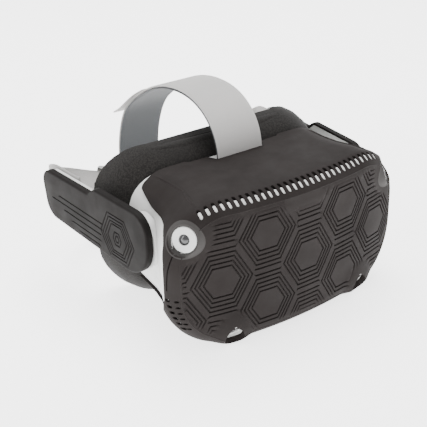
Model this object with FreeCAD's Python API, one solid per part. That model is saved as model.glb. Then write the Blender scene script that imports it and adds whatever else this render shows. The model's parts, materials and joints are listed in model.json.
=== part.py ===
"""Standalone VR headset in a rubber protector: an assembly of separate solids, in millimetres.

X runs across the face, with the wearer's right at -X. The front faces -Y and +Z is up.
The solids are modelled with y = 0 at the middle of the protector's front and z = 0 at
half its height. At the end they are moved so that the origin is in the middle of the base.
"""
import FreeCAD, Part
import math
import os
from FreeCAD import Vector as V

os.makedirs("parts", exist_ok=True)

# ---------------------------------------------------------------- driving dimensions
COVER_T = 2.0                 # rubber protector's wall
WALL = 2.2                    # housing wall
FIT = 0.15                    # gap between pieces that are screwed or clipped together
SHELL_IN = COVER_T + FIT      # from the protector's outside to the housing's outside
CAVITY_IN = SHELL_IN + WALL   # from the protector's outside to the housing's inside
FRONT_R = 318.0               # plan radius of the bowed front face
EDGE_R = 13.0                 # rounding of the front face's edge
FOOT_Z = -53.85               # flat underside that the headset stands on

# visor outline, outside the protector: y, half width, top, bottom, top and bottom corner radius
STATIONS = [
    (-2.0, 104.0, 53.5, -54.0, 44.0, 50.0),
    (30.0, 96.4, 53.0, -54.0, 40.0, 46.0),
    (44.0, 90.0, 52.5, -51.0, 37.0, 42.0),
    (60.0, 87.0, 51.5, -47.5, 33.0, 38.0),
    (112.0, 87.0, 50.0, -36.0, 28.0, 32.0),
]

PIVOT_Y, PIVOT_Z = 62.0, 14.0   # axis of the strap arms, along X
SPLAY = 5.1                     # outward lean of each strap arm, degrees
ARM_X = 97.0                    # outside of a sleeve on the pivot axis
SLEEVE_T = 1.8
ARM_T = 2.8
ARM_DEEP = 8.4                  # from the outside of a sleeve to the inside of the arm's housing

EYE_X = 31.5                    # half of the distance between the eyes
LENS_R = 21.5
BARREL_R = 23.0
IPD_TRAVEL = 2.5

STRAP_T = 1.8                   # rear strap's thickness
STRAP_H = 42.0                  # rear strap's height
TOP_STRAP_HALF = 19.0
TOP_STRAP_T = 3.0               # two layers of the top strap, one on the other


# ---------------------------------------------------------------- helpers
def block(x0, x1, y0, y1, z0, z1):
    return Part.makeBox(x1 - x0, y1 - y0, z1 - z0, V(x0, y0, z0))


def rod(radius, start, end):
    """Cylinder from start to end."""
    axis = V(*end) - V(*start)
    return Part.makeCylinder(radius, axis.Length, V(*start), axis)


def polygon(points):
    return Part.Face(Part.makePolygon([V(*p) for p in points + points[:1]]))


def prism_x(yz, x0, x1):
    """Outline in the YZ plane, carried along X."""
    return polygon([(x0, y, z) for y, z in yz]).extrude(V(x1 - x0, 0, 0))


def prism_y(xz, y0, y1):
    return polygon([(x, y0, z) for x, z in xz]).extrude(V(0, y1 - y0, 0))


def prism_z(xy, z0, z1):
    return polygon([(x, y, z0) for x, y in xy]).extrude(V(0, 0, z1 - z0))


def join(first, *others):
    return first.multiFuse(list(others)).removeSplitter() if others else first


def mirrored(shape):
    return shape.mirror(V(0, 0, 0), V(1, 0, 0))


def aim(shape, at, direction):
    """Carry a shape built at the origin along +Z to a point, looking along direction."""
    turned = shape.copy()
    turned.Placement = FreeCAD.Placement(V(*at), FreeCAD.Rotation(V(0, 0, 1), V(*direction)))
    return turned


def arc(centre, radius, a0, a1, y):
    """Arc in the plane at y, from angle a0 to a1 in degrees."""
    cx, cz = centre
    at = [V(cx + radius * math.cos(math.radians(a)), y, cz + radius * math.sin(math.radians(a)))
          for a in (a0, (a0 + a1) / 2, a1)]
    return Part.Arc(*at).toShape()


def outline(y, half, top, bottom, r_top, r_bottom):
    """Closed wire at y: a rounded rectangle with its own radius above and below."""
    corners = [
        ((half - r_top, top - r_top), r_top, 0, 90),
        ((-half + r_top, top - r_top), r_top, 90, 180),
        ((-half + r_bottom, bottom + r_bottom), r_bottom, 180, 270),
        ((half - r_bottom, bottom + r_bottom), r_bottom, 270, 360),
    ]
    arcs = [arc(c, r, a0, a1, y) for c, r, a0, a1 in corners]
    edges = []
    for here, following in zip(arcs, arcs[1:] + arcs[:1]):
        edges += [here, Part.makeLine(here.valueAt(here.LastParameter),
                                      following.valueAt(following.FirstParameter))]
    return Part.Wire(edges)


def loft(stations):
    return Part.makeLoft([outline(*s) for s in stations], True, True)


def rounded(corners, x):
    """Closed wire in the plane at x from (y, z, radius) corners, each rounded by its radius."""
    edges, ends = [], []
    for k, (y, z, r) in enumerate(corners):
        here = V(x, y, z)
        before = V(x, *corners[k - 1][:2]) - here
        after = V(x, *corners[(k + 1) % len(corners)][:2]) - here
        half = before.getAngle(after) / 2
        before.normalize()
        after.normalize()
        middle = before + after
        middle.normalize()
        reach = r / math.tan(half)
        start, end = here + before * reach, here + after * reach
        edges.append(Part.Arc(start, here + middle * (r / math.sin(half) - r), end).toShape())
        ends.append((start, end))
    lines = [Part.makeLine(ends[k][1], ends[(k + 1) % len(ends)][0]) for k in range(len(ends))]
    return Part.Wire([e for pair in zip(edges, lines) for e in pair])


def plate_x(corners, x0, x1, inset=0.0):
    """Rounded outline in the YZ plane, shrunk by inset, carried from x0 to x1."""
    wire = rounded(corners, x0)
    if inset:
        wire = wire.makeOffset2D(-inset)
    return Part.Face(wire).extrude(V(x1 - x0, 0, 0))


def smooth(points):
    """Spline through 3-D points."""
    curve = Part.BSplineCurve()
    curve.interpolate([V(*p) for p in points])
    return curve


def beside(path, distance):
    """Points beside an open path of (a, b) points, at a distance to its left."""
    curve = smooth([(a, b, 0) for a, b in path])
    moved = []
    for a, b in path:
        along = curve.tangent(curve.parameter(V(a, b, 0)))[0]
        moved.append((a - along.y * distance, b + along.x * distance))
    return moved


def ribbon(path, thickness, place):
    """Face of even thickness along a smooth path; place turns (a, b) into a 3-D point."""
    left, right = [smooth([place(a, b) for a, b in beside(path, d)])
                   for d in (thickness / 2, -thickness / 2)]
    start = Part.makeLine(right.StartPoint, left.StartPoint)
    end = Part.makeLine(left.EndPoint, right.EndPoint)
    return Part.Face(Part.Wire([left.toShape(), end, right.toShape(), start]))


# ---------------------------------------------------------------- visor form
def nose(depth):
    """Everything behind the bowed front face, moved back by depth."""
    return Part.makeCylinder(FRONT_R - depth, 300, V(0, FRONT_R, -150), V(0, 0, 1))


def is_front_edge(edge, inset):
    """True for an edge that lies on the bowed front face."""
    for k in range(5):
        p = edge.valueAt(edge.FirstParameter + (edge.LastParameter - edge.FirstParameter) * k / 4)
        if abs(math.hypot(p.x, p.y - FRONT_R) - (FRONT_R - inset)) > 0.02:
            return False
    return True


def visor(inset, round_edge=True):
    """The visor's outer form, moved inwards by inset."""
    body = loft([(y, half - inset, top - inset, bottom + inset, r_top - inset, r_bottom - inset)
                 for y, half, top, bottom, r_top, r_bottom in STATIONS])
    body = body.common(nose(inset))
    if round_edge:
        body = body.makeFillet(EDGE_R - inset, [e for e in body.Edges if is_front_edge(e, inset)])
    return body


# ---------------------------------------------------------------- cameras
UPPER_AT, UPPER_AXIS, UPPER_RING_R = (84.6, 15.4, 33.6), (0.78, -0.56, 0.28), 8.4
LOWER_AT, LOWER_AXIS, LOWER_RING_R = (55.0, 7.4, -43.0), (0.15, -0.75, -0.64), 7.4
GLASS_R = 3.5
RING_DEPTH = 3.6


def camera_places():
    """Name, place, direction and ring radius of the four tracking cameras."""
    for height, at, axis, ring_r in (("upper", UPPER_AT, UPPER_AXIS, UPPER_RING_R),
                                     ("lower", LOWER_AT, LOWER_AXIS, LOWER_RING_R)):
        yield height + "_left", at, axis, ring_r
        yield height + "_right", (-at[0], at[1], at[2]), (-axis[0], axis[1], axis[2]), ring_r


def camera_ring(ring_r):
    ring = Part.makeCylinder(ring_r, RING_DEPTH, V(0, 0, -RING_DEPTH))
    ring = ring.makeFillet(0.8, [e for e in ring.Edges if e.BoundBox.ZMin > -0.01])
    return ring.cut(Part.makeCylinder(GLASS_R + FIT, 9, V(0, 0, -8)))


def camera_glass():
    stem = Part.makeCylinder(GLASS_R, 2.4, V(0, 0, -RING_DEPTH))
    dome = Part.makeSphere(5.0, V(0, 0, -5.0)).common(Part.makeCylinder(GLASS_R, 9, V(0, 0, -1.4)))
    return join(stem, dome)


def camera_module():
    back = -RING_DEPTH - 4.2
    sensor = Part.makeBox(8.5, 8.5, 4, V(-4.25, -4.25, back))
    return join(sensor, Part.makeCylinder(3.2, 0.8, V(0, 0, back + 3.3)))


def camera_holes():
    """Round openings that the housing and the protector leave for the camera rings."""
    return Part.makeCompound([aim(Part.makeCylinder(r + FIT, 24, V(0, 0, -RING_DEPTH - 9)), at, axis)
                              for _, at, axis, r in camera_places()])


# ---------------------------------------------------------------- housing
SPLIT = [(14.0, 70.0), (14.0, 36.0), (16.2, 28.0), (18.4, 17.0), (20.0, 6.0), (20.5, -5.0), (20.0, -28.0),
         (17.0, -70.0)]
SPLIT_GAP = 1.3               # half of the slit between the front and rear shells
REAR_PROFILE = [(-60.0, 80.0), (83.0, 80.0), (83.0, 50.0), (90.0, 43.0), (104.0, 27.0), (107.0, 12.0),
                (104.0, -8.0), (90.0, -29.0), (80.0, -37.0), (78.0, -80.0), (-60.0, -80.0)]
STRAP_SLOT_HALF = 20.5
STRAP_SLOT_Y = (69.5, 76.5)


def behind_split(gap):
    """Space behind the join between the front and rear shells."""
    return prism_x([(y + gap, z) for y, z in SPLIT] + [(160.0, -70.0), (160.0, 70.0)], -120, 120)


def front_shell():
    shell = visor(SHELL_IN).cut(visor(CAVITY_IN))
    return shell.cut(behind_split(-SPLIT_GAP)).cut(camera_holes())


def rear_shell():
    """Rear housing: its sides reach back past the eyes to carry the strap pivots."""
    shell = visor(SHELL_IN).common(prism_x(REAR_PROFILE, -120, 120)).cut(visor(CAVITY_IN, False))
    shell = shell.common(behind_split(SPLIT_GAP)).cut(camera_holes())
    holes = [block(-STRAP_SLOT_HALF, STRAP_SLOT_HALF, *STRAP_SLOT_Y, 30, 60)]
    holes += [rod(PIN_R + 3, (side * 70, PIVOT_Y, PIVOT_Z), (side * 99, PIVOT_Y, PIVOT_Z))
              for side in (-1, 1)]
    holes += [rod(JACK_R + FIT, (70, *JACK_AT), (99, *JACK_AT)), port_form(FIT, 70, 99)]
    holes += [button_form(FIT, -99, -70), rod(LED_R + FIT, (-99, *LED_AT), (-70, *LED_AT))]
    holes += [rocker_form(0.35)]
    return shell.cut(Part.makeCompound(holes))


def vent_frame():
    """Dark frame behind the slit, through which the air leaves."""
    inset = CAVITY_IN + FIT
    ring = visor(inset).cut(visor(inset + 2.5, False))
    return ring.common(behind_split(-5.0)).cut(behind_split(6.0)).cut(camera_holes())


# ---------------------------------------------------------------- ports and controls
PIN_R = 5.0
JACK_AT, JACK_R, JACK_BORE_R = (43.0, -9.0), 3.9, 1.8       # y and z; 3.5 mm audio socket
PORT_AT, PORT_HALF = (52.5, -19.5), (4.9, 1.9)              # y and z; oval data and power socket
BUTTON_AT, BUTTON_HALF = (47.0, -11.0), (4.5, 2.0)          # y and z; power button
LED_AT, LED_R = (52.0, -20.0), 0.8
ROCKER_AT, ROCKER_HALF = (40.0, 53.0), (10.5, 2.8)          # x and y; volume rocker
ROCKER_PIN_Z, ROCKER_PIN_R = -42.6, 0.8


def oval_x(at, half, grow, x0, x1):
    """Oval bar along X, centred on (y, z), with the given half length and half height."""
    y, z = at
    a, b = half[0] + grow, half[1] + grow
    return plate_x([(y - a, z - b, b * 0.99), (y - a, z + b, b * 0.99), (y + a, z + b, b * 0.99),
                    (y + a, z - b, b * 0.99)], x0, x1)


def port_form(grow, x0, x1):
    return oval_x(PORT_AT, PORT_HALF, grow, x0, x1)


def button_form(grow, x0, x1):
    return oval_x(BUTTON_AT, BUTTON_HALF, grow, x0, x1)


def rocker_form(grow):
    (x, y), (a, b) = ROCKER_AT, ROCKER_HALF
    return block(x - a - grow, x + a + grow, y - b - grow, y + b + grow, -60, -38)


def audio_jack():
    y, z = JACK_AT
    return rod(JACK_R, (73, y, z), (87.4, y, z)).cut(rod(JACK_BORE_R, (75, y, z), (90, y, z)))


def usb_port():
    mouth = port_form(-0.6, 76, 90).cut(oval_x(PORT_AT, (3.0, 0.5), 0.0, 76, 84.3))
    return port_form(0.0, 74, 85.2).cut(mouth)


def power_button():
    """Oval button flush with the side wall, with a flange that keeps it in."""
    cap = button_form(0.0, -99, -83.4).common(visor(SHELL_IN, False))
    return join(cap, button_form(1.0, -83.4, -82.0))


def status_light():
    y, z = LED_AT
    return rod(LED_R, (-99, y, z), (-80, y, z)).common(visor(SHELL_IN, False))


def rocker_pin(radius):
    """Pin that the volume rocker turns on, along Y."""
    (x, y), half = ROCKER_AT, ROCKER_HALF[1] + 1.8
    return rod(radius, (x, y - half, ROCKER_PIN_Z), (x, y + half, ROCKER_PIN_Z))


def rocker_bracket():
    """Two feet on the rear shell's floor, each with an ear that holds an end of the rocker's pin."""
    (x, y), near = ROCKER_AT, ROCKER_HALF[1] + 0.6

    def both_sides(half, deep, top):
        blocks = [block(x - half, x + half, *span, -60, top)
                  for span in ((y - near - deep, y - near), (y + near, y + near + deep))]
        return Part.makeCompound(blocks)

    floor = visor(CAVITY_IN, False)
    feet = both_sides(9.0, 3.4, -40).common(floor.cut(visor(CAVITY_IN + 0.9, False)))
    ears = both_sides(2.3, 1.0, ROCKER_PIN_Z + 1.9).common(floor)
    halves = [join(foot, ear) for foot, ear in zip(feet.Solids, ears.Solids)]
    return Part.makeCompound(halves).cut(rocker_pin(ROCKER_PIN_R + 0.06))


def volume_rocker():
    cap = rocker_form(0.0).common(visor(SHELL_IN - 0.8, False)).common(block(0, 99, 0, 99, -60, -43.6))
    x, y = ROCKER_AT
    stem = block(x - 3, x + 3, y - 1.5, y + 1.5, -44, ROCKER_PIN_Z + 1.6)
    return join(cap, stem, rocker_pin(ROCKER_PIN_R))


# ---------------------------------------------------------------- rubber protector
SLOTS = 31
SLOT_PITCH = 4.85
SLOT_W = 2.3
SLOT_Y = (10.5, 17.0)
SIDE_WINDOW = [(36.0, 35.8), (26.5, 30.0), (23.4, 17.0), (23.4, -10.0), (28.0, -19.0), (36.0, -25.0),
               (130.0, -25.0), (130.0, 60.0), (84.0, 60.0), (80.0, 43.0), (60.0, 37.4)]
COVER_REAR = [(-100, 82), (-40, 82), (-37, 79), (-22, 74), (-19, 69), (19, 69), (22, 74), (37, 79),
              (40, 82), (100, 82), (100, -40), (-100, -40)]


def rubber_protector():
    """Slip-on rubber skin over the visor's front, top and underside, with the sides left open."""
    skin = visor(0.0).cut(visor(COVER_T)).common(prism_z(COVER_REAR, -80, 80))
    skin = skin.cut(prism_x(SIDE_WINDOW, 60, 120)).cut(prism_x(SIDE_WINDOW, -120, -60))
    cuts = [camera_holes(), rocker_form(2.5), block(-120, 120, -40, 120, -60, FOOT_Z)]
    for k in range(SLOTS):
        x = (k - (SLOTS - 1) / 2) * SLOT_PITCH
        cuts.append(block(x - SLOT_W / 2, x + SLOT_W / 2, *SLOT_Y, 38, 60))
    return skin.cut(Part.makeCompound(cuts))


# ---------------------------------------------------------------- electronics
FRAME_Y = 30.0                  # front of the metal frame plate
SCREW_AT = [(x, z) for x in (-72.0, 72.0) for z in (-32.0, 32.0)]


def inner_frame():
    """Metal plate across the visor that carries the board, the screen and the lens rails."""
    slab = visor(8.0, False).common(block(-100, 100, FRAME_Y, FRAME_Y + 1.5, -60, 60))
    ribs = [block(x - 0.8, x + 0.8, FRAME_Y - 3, FRAME_Y, -30, 30) for x in (-62, 62)]
    holes = [rod(1.3, (x, 0, z), (x, 99, z)) for x, z in SCREW_AT]
    return join(slab, *ribs).cut(Part.makeCompound(holes))


def frame_screws():
    return Part.makeCompound([join(rod(1.2, (x, 24, z), (x, 32, z)), rod(2.3, (x, 31.7, z), (x, 33.3, z)))
                              for x, z in SCREW_AT])


def main_board():
    board = block(-58, 36, 21.0, 22.2, -32, 34)
    back_chips = [(18, 18, 6), (-34, -10, 9), (-34, 16, 7), (16, -18, 8)]
    chips = [block(x - s, x + s, 22.2, 23.6, z - s, z + s) for x, z, s in back_chips]
    return join(board, block(-15, 0, 19.8, 21.0, 0, 15), *chips)


def heat_sink():
    base = block(-30, 15, 18.0, 19.7, -8, 24)
    fins = [block(x - 0.6, x + 0.6, 12.5, 18.0, -8, 24) for x in range(-28, 15, 4)]
    return join(base, *fins)


FAN_X, FAN_Z = 30.0, 14.0       # blower's spindle, along Y


def fan_rod(radius, y0, y1):
    return rod(radius, (FAN_X, y0, FAN_Z), (FAN_X, y1, FAN_Z))


def fan_housing():
    case = fan_rod(12.5, 12.4, 20.6).cut(fan_rod(11.5, 13.4, 19.6)).cut(fan_rod(7.0, 11, 14))
    return join(case, fan_rod(1.5, 15.0, 19.8))


def fan_rotor():
    blades = []
    for k in range(11):
        blade = block(FAN_X + 3.6, FAN_X + 10.6, 14.6, 18.8, FAN_Z - 0.4, FAN_Z + 0.4)
        blade.rotate(V(FAN_X + 3.6, 0, FAN_Z), V(0, 1, 0), 35)
        blade.rotate(V(FAN_X, 0, FAN_Z), V(0, 1, 0), 360.0 * k / 11)
        blades.append(blade)
    rotor = join(fan_rod(4.4, 13.8, 19.2), *blades).common(fan_rod(10.9, 13.8, 19.2))
    return rotor.cut(fan_rod(1.55, 14.6, 20))


def battery():
    cell = block(-82, -65, 22.5, 29.0, -28, 20)
    return cell.makeFillet(1.5, [e for e in cell.Edges if abs(e.tangentAt(e.FirstParameter).z) > 0.9])


def screen_panel():
    return block(-60, 60, 32.2, 34.4, -34, 34)


def screen_bezel():
    return block(-63, 63, 31.7, 35.6, -37, 37).cut(block(-60.2, 60.2, 31, 37, -34.2, 34.2))


# ---------------------------------------------------------------- lenses
RAIL_Y, RAIL_Z, RAIL_R = 45.0, 28.0, 1.5
BARREL_Y = (38.0, 66.0)
LENS_Y = (57.0, 65.0)
LENS_BALL_R = 60.0
BEZEL_Y = (62.0, 64.0)
SENSOR_X, SENSOR_Z = 0.0, 27.0
MODULE = 0.8                    # tooth size of the rack and pinion between the lens barrels
TEETH = 12
PINION_R = MODULE * TEETH / 2
ADDENDUM = 0.8 * MODULE
DEDENDUM = 1.15 * MODULE
BACKLASH = 0.16                 # taken off each flank
PRESSURE = math.radians(20)
GEAR_Y = (40.0, 43.0)
RACK_TIP = 3.8                  # how far a rack reaches past the pinion's axis


def pinion():
    """Involute pinion on the axis between the barrels."""
    base = PINION_R * math.cos(PRESSURE)
    half_tooth = math.pi / (2 * TEETH) - BACKLASH / PINION_R
    start = half_tooth + math.tan(PRESSURE) - PRESSURE
    flank = []
    for k in range(6):
        r = base + (PINION_R + ADDENDUM - base) * k / 5
        roll = math.acos(base / r)
        flank.append((r, start - (math.tan(roll) - roll)))
    flank.insert(0, (PINION_R - DEDENDUM, start))
    points = []
    for k in range(TEETH):
        middle = math.pi / 2 + 2 * math.pi * k / TEETH
        side = [(r, middle - a) for r, a in flank] + [(r, middle + a) for r, a in reversed(flank)]
        points += [(r * math.cos(a), r * math.sin(a)) for r, a in side]
    gear = prism_y(points, *GEAR_Y)
    return gear.cut(rod(1.25, (0, 30, 0), (0, 60, 0)))


def pinion_pin():
    return join(rod(1.2, (0, 35.8, 0), (0, 44, 0)), rod(2.2, (0, 35.8, 0), (0, 39.6, 0)),
                rod(2.0, (0, 43.4, 0), (0, 44.4, 0)))


def rack(side):
    """Rack bar that reaches from a barrel over the pinion, above it for the left barrel."""
    pitch = math.pi * MODULE
    lean = math.tan(PRESSURE)
    half = pitch / 4 - BACKLASH
    bar = block(-RACK_TIP, 12.0, *GEAR_Y, PINION_R + DEDENDUM, PINION_R + DEDENDUM + 2.4)
    teeth = []
    for k in (-1.5, -0.5, 0.5, 1.5):
        x = k * pitch
        tip, root = half - ADDENDUM * lean, half + DEDENDUM * lean
        low, high = PINION_R - ADDENDUM, PINION_R + DEDENDUM + 0.1
        teeth.append(prism_y([(x - tip, low), (x + tip, low), (x + root, high), (x - root, high)], *GEAR_Y))
    whole = join(bar, *teeth).common(block(-RACK_TIP, 12.0, 0, 99, 0, 20))
    if side < 0:
        whole.rotate(V(0, 0, 0), V(0, 1, 0), 180)
    return whole


def lens_barrel(side):
    """Tapered lens tube with two rail guides and a rack."""
    x = side * EYE_X
    front, back = BARREL_Y
    tube = rod(BARREL_R, (x, front, 0), (x, back, 0))
    bore = join(rod(BARREL_R - 2.4, (x, front - 1, 0), (x, back + 1, 0)),
                rod(LENS_R + 0.1, (x, LENS_Y[0] - 0.1, 0), (x, back + 1, 0)))
    guides = [block(x - 8, x + 8, RAIL_Y - 3.2, RAIL_Y + 3.2, *sorted((z * 0.7, z * 1.115)))
              for z in (RAIL_Z, -RAIL_Z)]
    holes = [rod(RAIL_R + 0.05, (x - 20, RAIL_Y, z), (x + 20, RAIL_Y, z)) for z in (RAIL_Z, -RAIL_Z)]
    return join(tube, rack(side), *guides).cut(bore).cut(Part.makeCompound(holes))


def lens(side):
    """Biconvex eye lens, held in the back of its barrel."""
    x = side * EYE_X
    front, back = LENS_Y
    near = Part.makeSphere(LENS_BALL_R, V(x, back - LENS_BALL_R, 0))
    far = Part.makeSphere(LENS_BALL_R, V(x, front + LENS_BALL_R, 0))
    return rod(LENS_R, (x, front, 0), (x, back, 0)).common(near).common(far)


def lens_rails():
    """Two round rods on posts, along which the lens barrels slide."""
    rods = []
    for z in (RAIL_Z, -RAIL_Z):
        posts = [block(x - 2.5, x + 2.5, 35.8, RAIL_Y + 3, z - 3, z + 3) for x in (-60, 60)]
        rods.append(join(rod(RAIL_R, (-60, RAIL_Y, z), (60, RAIL_Y, z)), *posts))
    return Part.makeCompound(rods)


def lens_bezel():
    """Inner cover around the eyepieces, with a slot in which each one can move."""
    plate = visor(CAVITY_IN + FIT, False).common(block(-100, 100, *BEZEL_Y, -60, 60))
    hole_r, reach = BARREL_R + 0.4, IPD_TRAVEL + 0.3
    for x in (-EYE_X, EYE_X):
        ends = [rod(hole_r, (x + d, 50, 0), (x + d, 80, 0)) for d in (-reach, reach)]
        plate = plate.cut(join(block(x - reach, x + reach, 50, 80, -hole_r, hole_r), *ends))
    plate = plate.cut(rod(2.6, (SENSOR_X, 50, SENSOR_Z), (SENSOR_X, 80, SENSOR_Z)))
    return plate.cut(pivot_room())


def wear_sensor():
    """Small window between the lenses that senses a forehead."""
    return rod(2.5, (SENSOR_X, 60.5, SENSOR_Z), (SENSOR_X, 64.4, SENSOR_Z))


# ---------------------------------------------------------------- face side
FACE_R = 165.0                   # plan radius of the hollow that the face fills
FRAME_BACK = 88.0                # y of the hard frame's back edge, in the middle
CUSHION_BACK = 101.0             # y of the cushion's back, in the middle


def face_hollow(y):
    """Upright cylinder with the curve of a face, nearest the front at y in the middle."""
    return Part.makeCylinder(FACE_R, 300, V(0, y + FACE_R, -150), V(0, 0, 1))


def pivot_room():
    """Room inside the rear shell for the heads of the two pivot pins."""
    return Part.makeCompound([rod(8.5, (side * 75, PIVOT_Y, PIVOT_Z), (side * 99, PIVOT_Y, PIVOT_Z))
                              for side in (-1, 1)])


def nose_gap(half, top):
    return prism_y([(-half, -80), (half, -80), (half * 0.45, top), (-half * 0.45, top)], 60, 160)


def facial_interface():
    """Hard frame that the face cushion is fixed to, clipped inside the rear shell."""
    outer = [(64.5, 82.2, 43.0, -37.5, 30, 34), (84.0, 82.2, 44.5, -36.0, 29, 32),
             (93.0, 82.2, 56.0, -43.0, 38, 32), (126.0, 82.2, 57.0, -46.0, 38, 32)]
    inner = [(y + dy, half - 2.6, top - 2.6, bottom + 2.6, r_top - 2.6, r_bottom - 2.6)
             for (y, half, top, bottom, r_top, r_bottom), dy in zip(outer, (-2, 1, 1, 2))]
    ring = loft(outer).cut(loft(inner)).cut(face_hollow(FRAME_BACK)).cut(nose_gap(24, -14))
    ring = ring.cut(block(-26, 26, 60, 79, 30, 60)).cut(pivot_room())
    wall = visor(0.0, False).common(prism_x([(y + 0.4, z) for y, z in REAR_PROFILE], -120, 120))
    return ring.cut(wall.cut(visor(CAVITY_IN + FIT, False)))


def face_cushion():
    """Foam that meets the face: a thick soft ring on the back of the hard frame."""
    low = FOOT_Z + 0.15
    outer = [(84.0, 84.0, 47.0, -40.0, 28, 30), (96.0, 90.0, 58.0, low, 36, 34),
             (132.0, 90.0, 58.0, low, 36, 34)]
    inner = [(83.0, 70.0, 36.0, -26.0, 26, 22), (133.0, 72.0, 37.0, -28.0, 26, 22)]
    pad = loft(outer).cut(loft(inner)).cut(nose_gap(20, -10))
    return pad.common(face_hollow(FRAME_BACK + 0.3)).cut(face_hollow(CUSHION_BACK))


# ---------------------------------------------------------------- strap arms
ARM_OUTLINE = [(44.4, 38.9, 14.0), (44.4, -10.6, 25.5), (174.0, -5.4, 13.0), (178.5, 32.2, 11.0),
               (113.5, 32.4, 5.0), (105.5, 38.9, 6.0)]
HOUSING_OUTLINE = [(98.0, 31.8, 3.0), (98.0, -4.0, 6.0), (171.5, -2.0, 10.0), (176.0, 31.4, 9.0)]
CHAMBER_OUTLINE = [(76.0, 30.0, 8.0), (76.0, -3.0, 8.0), (102.0, -2.0, 1.0), (102.0, 31.0, 1.0)]
SPEAKER_Y, SPEAKER_Z = 90.0, 13.0


def splayed(shape):
    """Lean a left-hand arm piece outwards, about the sleeve's outside on the pivot axis."""
    leaning = shape.copy()
    leaning.rotate(V(ARM_X, PIVOT_Y, 0), V(0, 0, 1), -SPLAY)
    return leaning


def arm_plane_x(y, depth):
    """X of the left arm's plane at y, at a depth inwards from the sleeve's outside."""
    lean = math.radians(SPLAY)
    return ARM_X + (y - PIVOT_Y) * math.tan(lean) - depth / math.cos(lean)


def arm_sleeve():
    """Rubber sleeve over the outside and the edge of an arm."""
    solid = plate_x(ARM_OUTLINE, ARM_X - 5.2, ARM_X)
    solid = solid.makeFillet(1.2, [e for e in solid.Edges if e.BoundBox.XMin > ARM_X - 0.01])
    return splayed(solid.cut(plate_x(ARM_OUTLINE, ARM_X - 9, ARM_X - SLEEVE_T, SLEEVE_T)))


def strap_arm():
    """Hard arm: a plate under the sleeve, with a deeper housing behind it."""
    face = ARM_X - SLEEVE_T - 0.1
    plate = plate_x(ARM_OUTLINE, face - ARM_T, face, SLEEVE_T + 0.2)
    neck = plate_x(HOUSING_OUTLINE, ARM_X - 5.5, face - 1, 5.6)
    housing = plate_x(HOUSING_OUTLINE, ARM_X - ARM_DEEP, ARM_X - 5.5)
    chamber = plate_x(CHAMBER_OUTLINE, ARM_X - ARM_DEEP, face - 1)
    arm = join(plate, neck, housing, chamber)
    arm = arm.cut(rod(10.2, (ARM_X - 7.0, SPEAKER_Y, SPEAKER_Z), (ARM_X - 3.6, SPEAKER_Y, SPEAKER_Z)))
    for k in range(-2, 3):
        z = SPEAKER_Z + 3.0 * k
        arm = arm.cut(block(ARM_X - 12, ARM_X - 6.5, SPEAKER_Y - 6, SPEAKER_Y + 6, z - 0.6, z + 0.6))
    arm = splayed(arm)
    return arm.cut(rod(PIN_R + 0.06, (70, PIVOT_Y, PIVOT_Z), (110, PIVOT_Y, PIVOT_Z)))


def speaker():
    return splayed(rod(10.0, (ARM_X - 6.7, SPEAKER_Y, SPEAKER_Z), (ARM_X - 3.9, SPEAKER_Y, SPEAKER_Z)))


def pivot_boss():
    """Round boss on the visor's side that the arm turns against."""
    def disc(radius, x1):
        return rod(radius, (83.0, PIVOT_Y, PIVOT_Z), (x1, PIVOT_Y, PIVOT_Z))
    boss = join(disc(19.0, 89.4), disc(9.0, 90.9)).cut(visor(SHELL_IN - FIT / 3, False))
    return boss.cut(rod(PIN_R + 0.1, (70, PIVOT_Y, PIVOT_Z), (99, PIVOT_Y, PIVOT_Z)))


def pivot_pin():
    return join(rod(PIN_R, (80.0, PIVOT_Y, PIVOT_Z), (94.5, PIVOT_Y, PIVOT_Z)),
                rod(PIN_R + 2.5, (80.0, PIVOT_Y, PIVOT_Z), (82.4, PIVOT_Y, PIVOT_Z)))


# ---------------------------------------------------------------- straps
STRAP_ON_ARM_Y = (140.0, 158.0, 175.0)      # the strap lies against the arm here
STRAP_DEPTH = ARM_DEEP + 0.8 + STRAP_T / 2
STRAP_BEND = [(93.5, 187.0), (80.0, 195.5), (56.0, 205.0), (29.0, 212.5), (0.0, 216.4)]
STRAP_TOP = [(136.0, 33.5), (160.0, 33.0), (178.0, 31.5), (188.0, 26.0), (197.0, 16.0), (206.0, 3.4),
             (213.0, -6.4), (220.0, -14.6)]


def rear_strap():
    """Woven band from arm to arm round the back of the head, lower at the back."""
    half = [(arm_plane_x(y, STRAP_DEPTH), y) for y in STRAP_ON_ARM_Y] + STRAP_BEND
    path = half + [(-x, y) for x, y in reversed(half[:-1])]
    band = ribbon(path, STRAP_T, lambda a, b: (a, b, -90)).extrude(V(0, 0, 180))
    top = smooth([(-110, y, z) for y, z in STRAP_TOP])
    low = smooth([(-110, y, z - STRAP_H) for y, z in STRAP_TOP])
    side = Part.Face(Part.Wire([top.toShape(), Part.makeLine(top.EndPoint, low.EndPoint), low.toShape(),
                                Part.makeLine(low.StartPoint, top.StartPoint)]))
    return band.common(side.extrude(V(220, 0, 0)))


SLIDER_X = 46.0
SLIDER_HALF = (7.0, 3.7, 23.6)              # half length, half thickness and half height
SLIDER_SLOT_HALF = (2.5, 21.8)              # half thickness and half height of its slot


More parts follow.
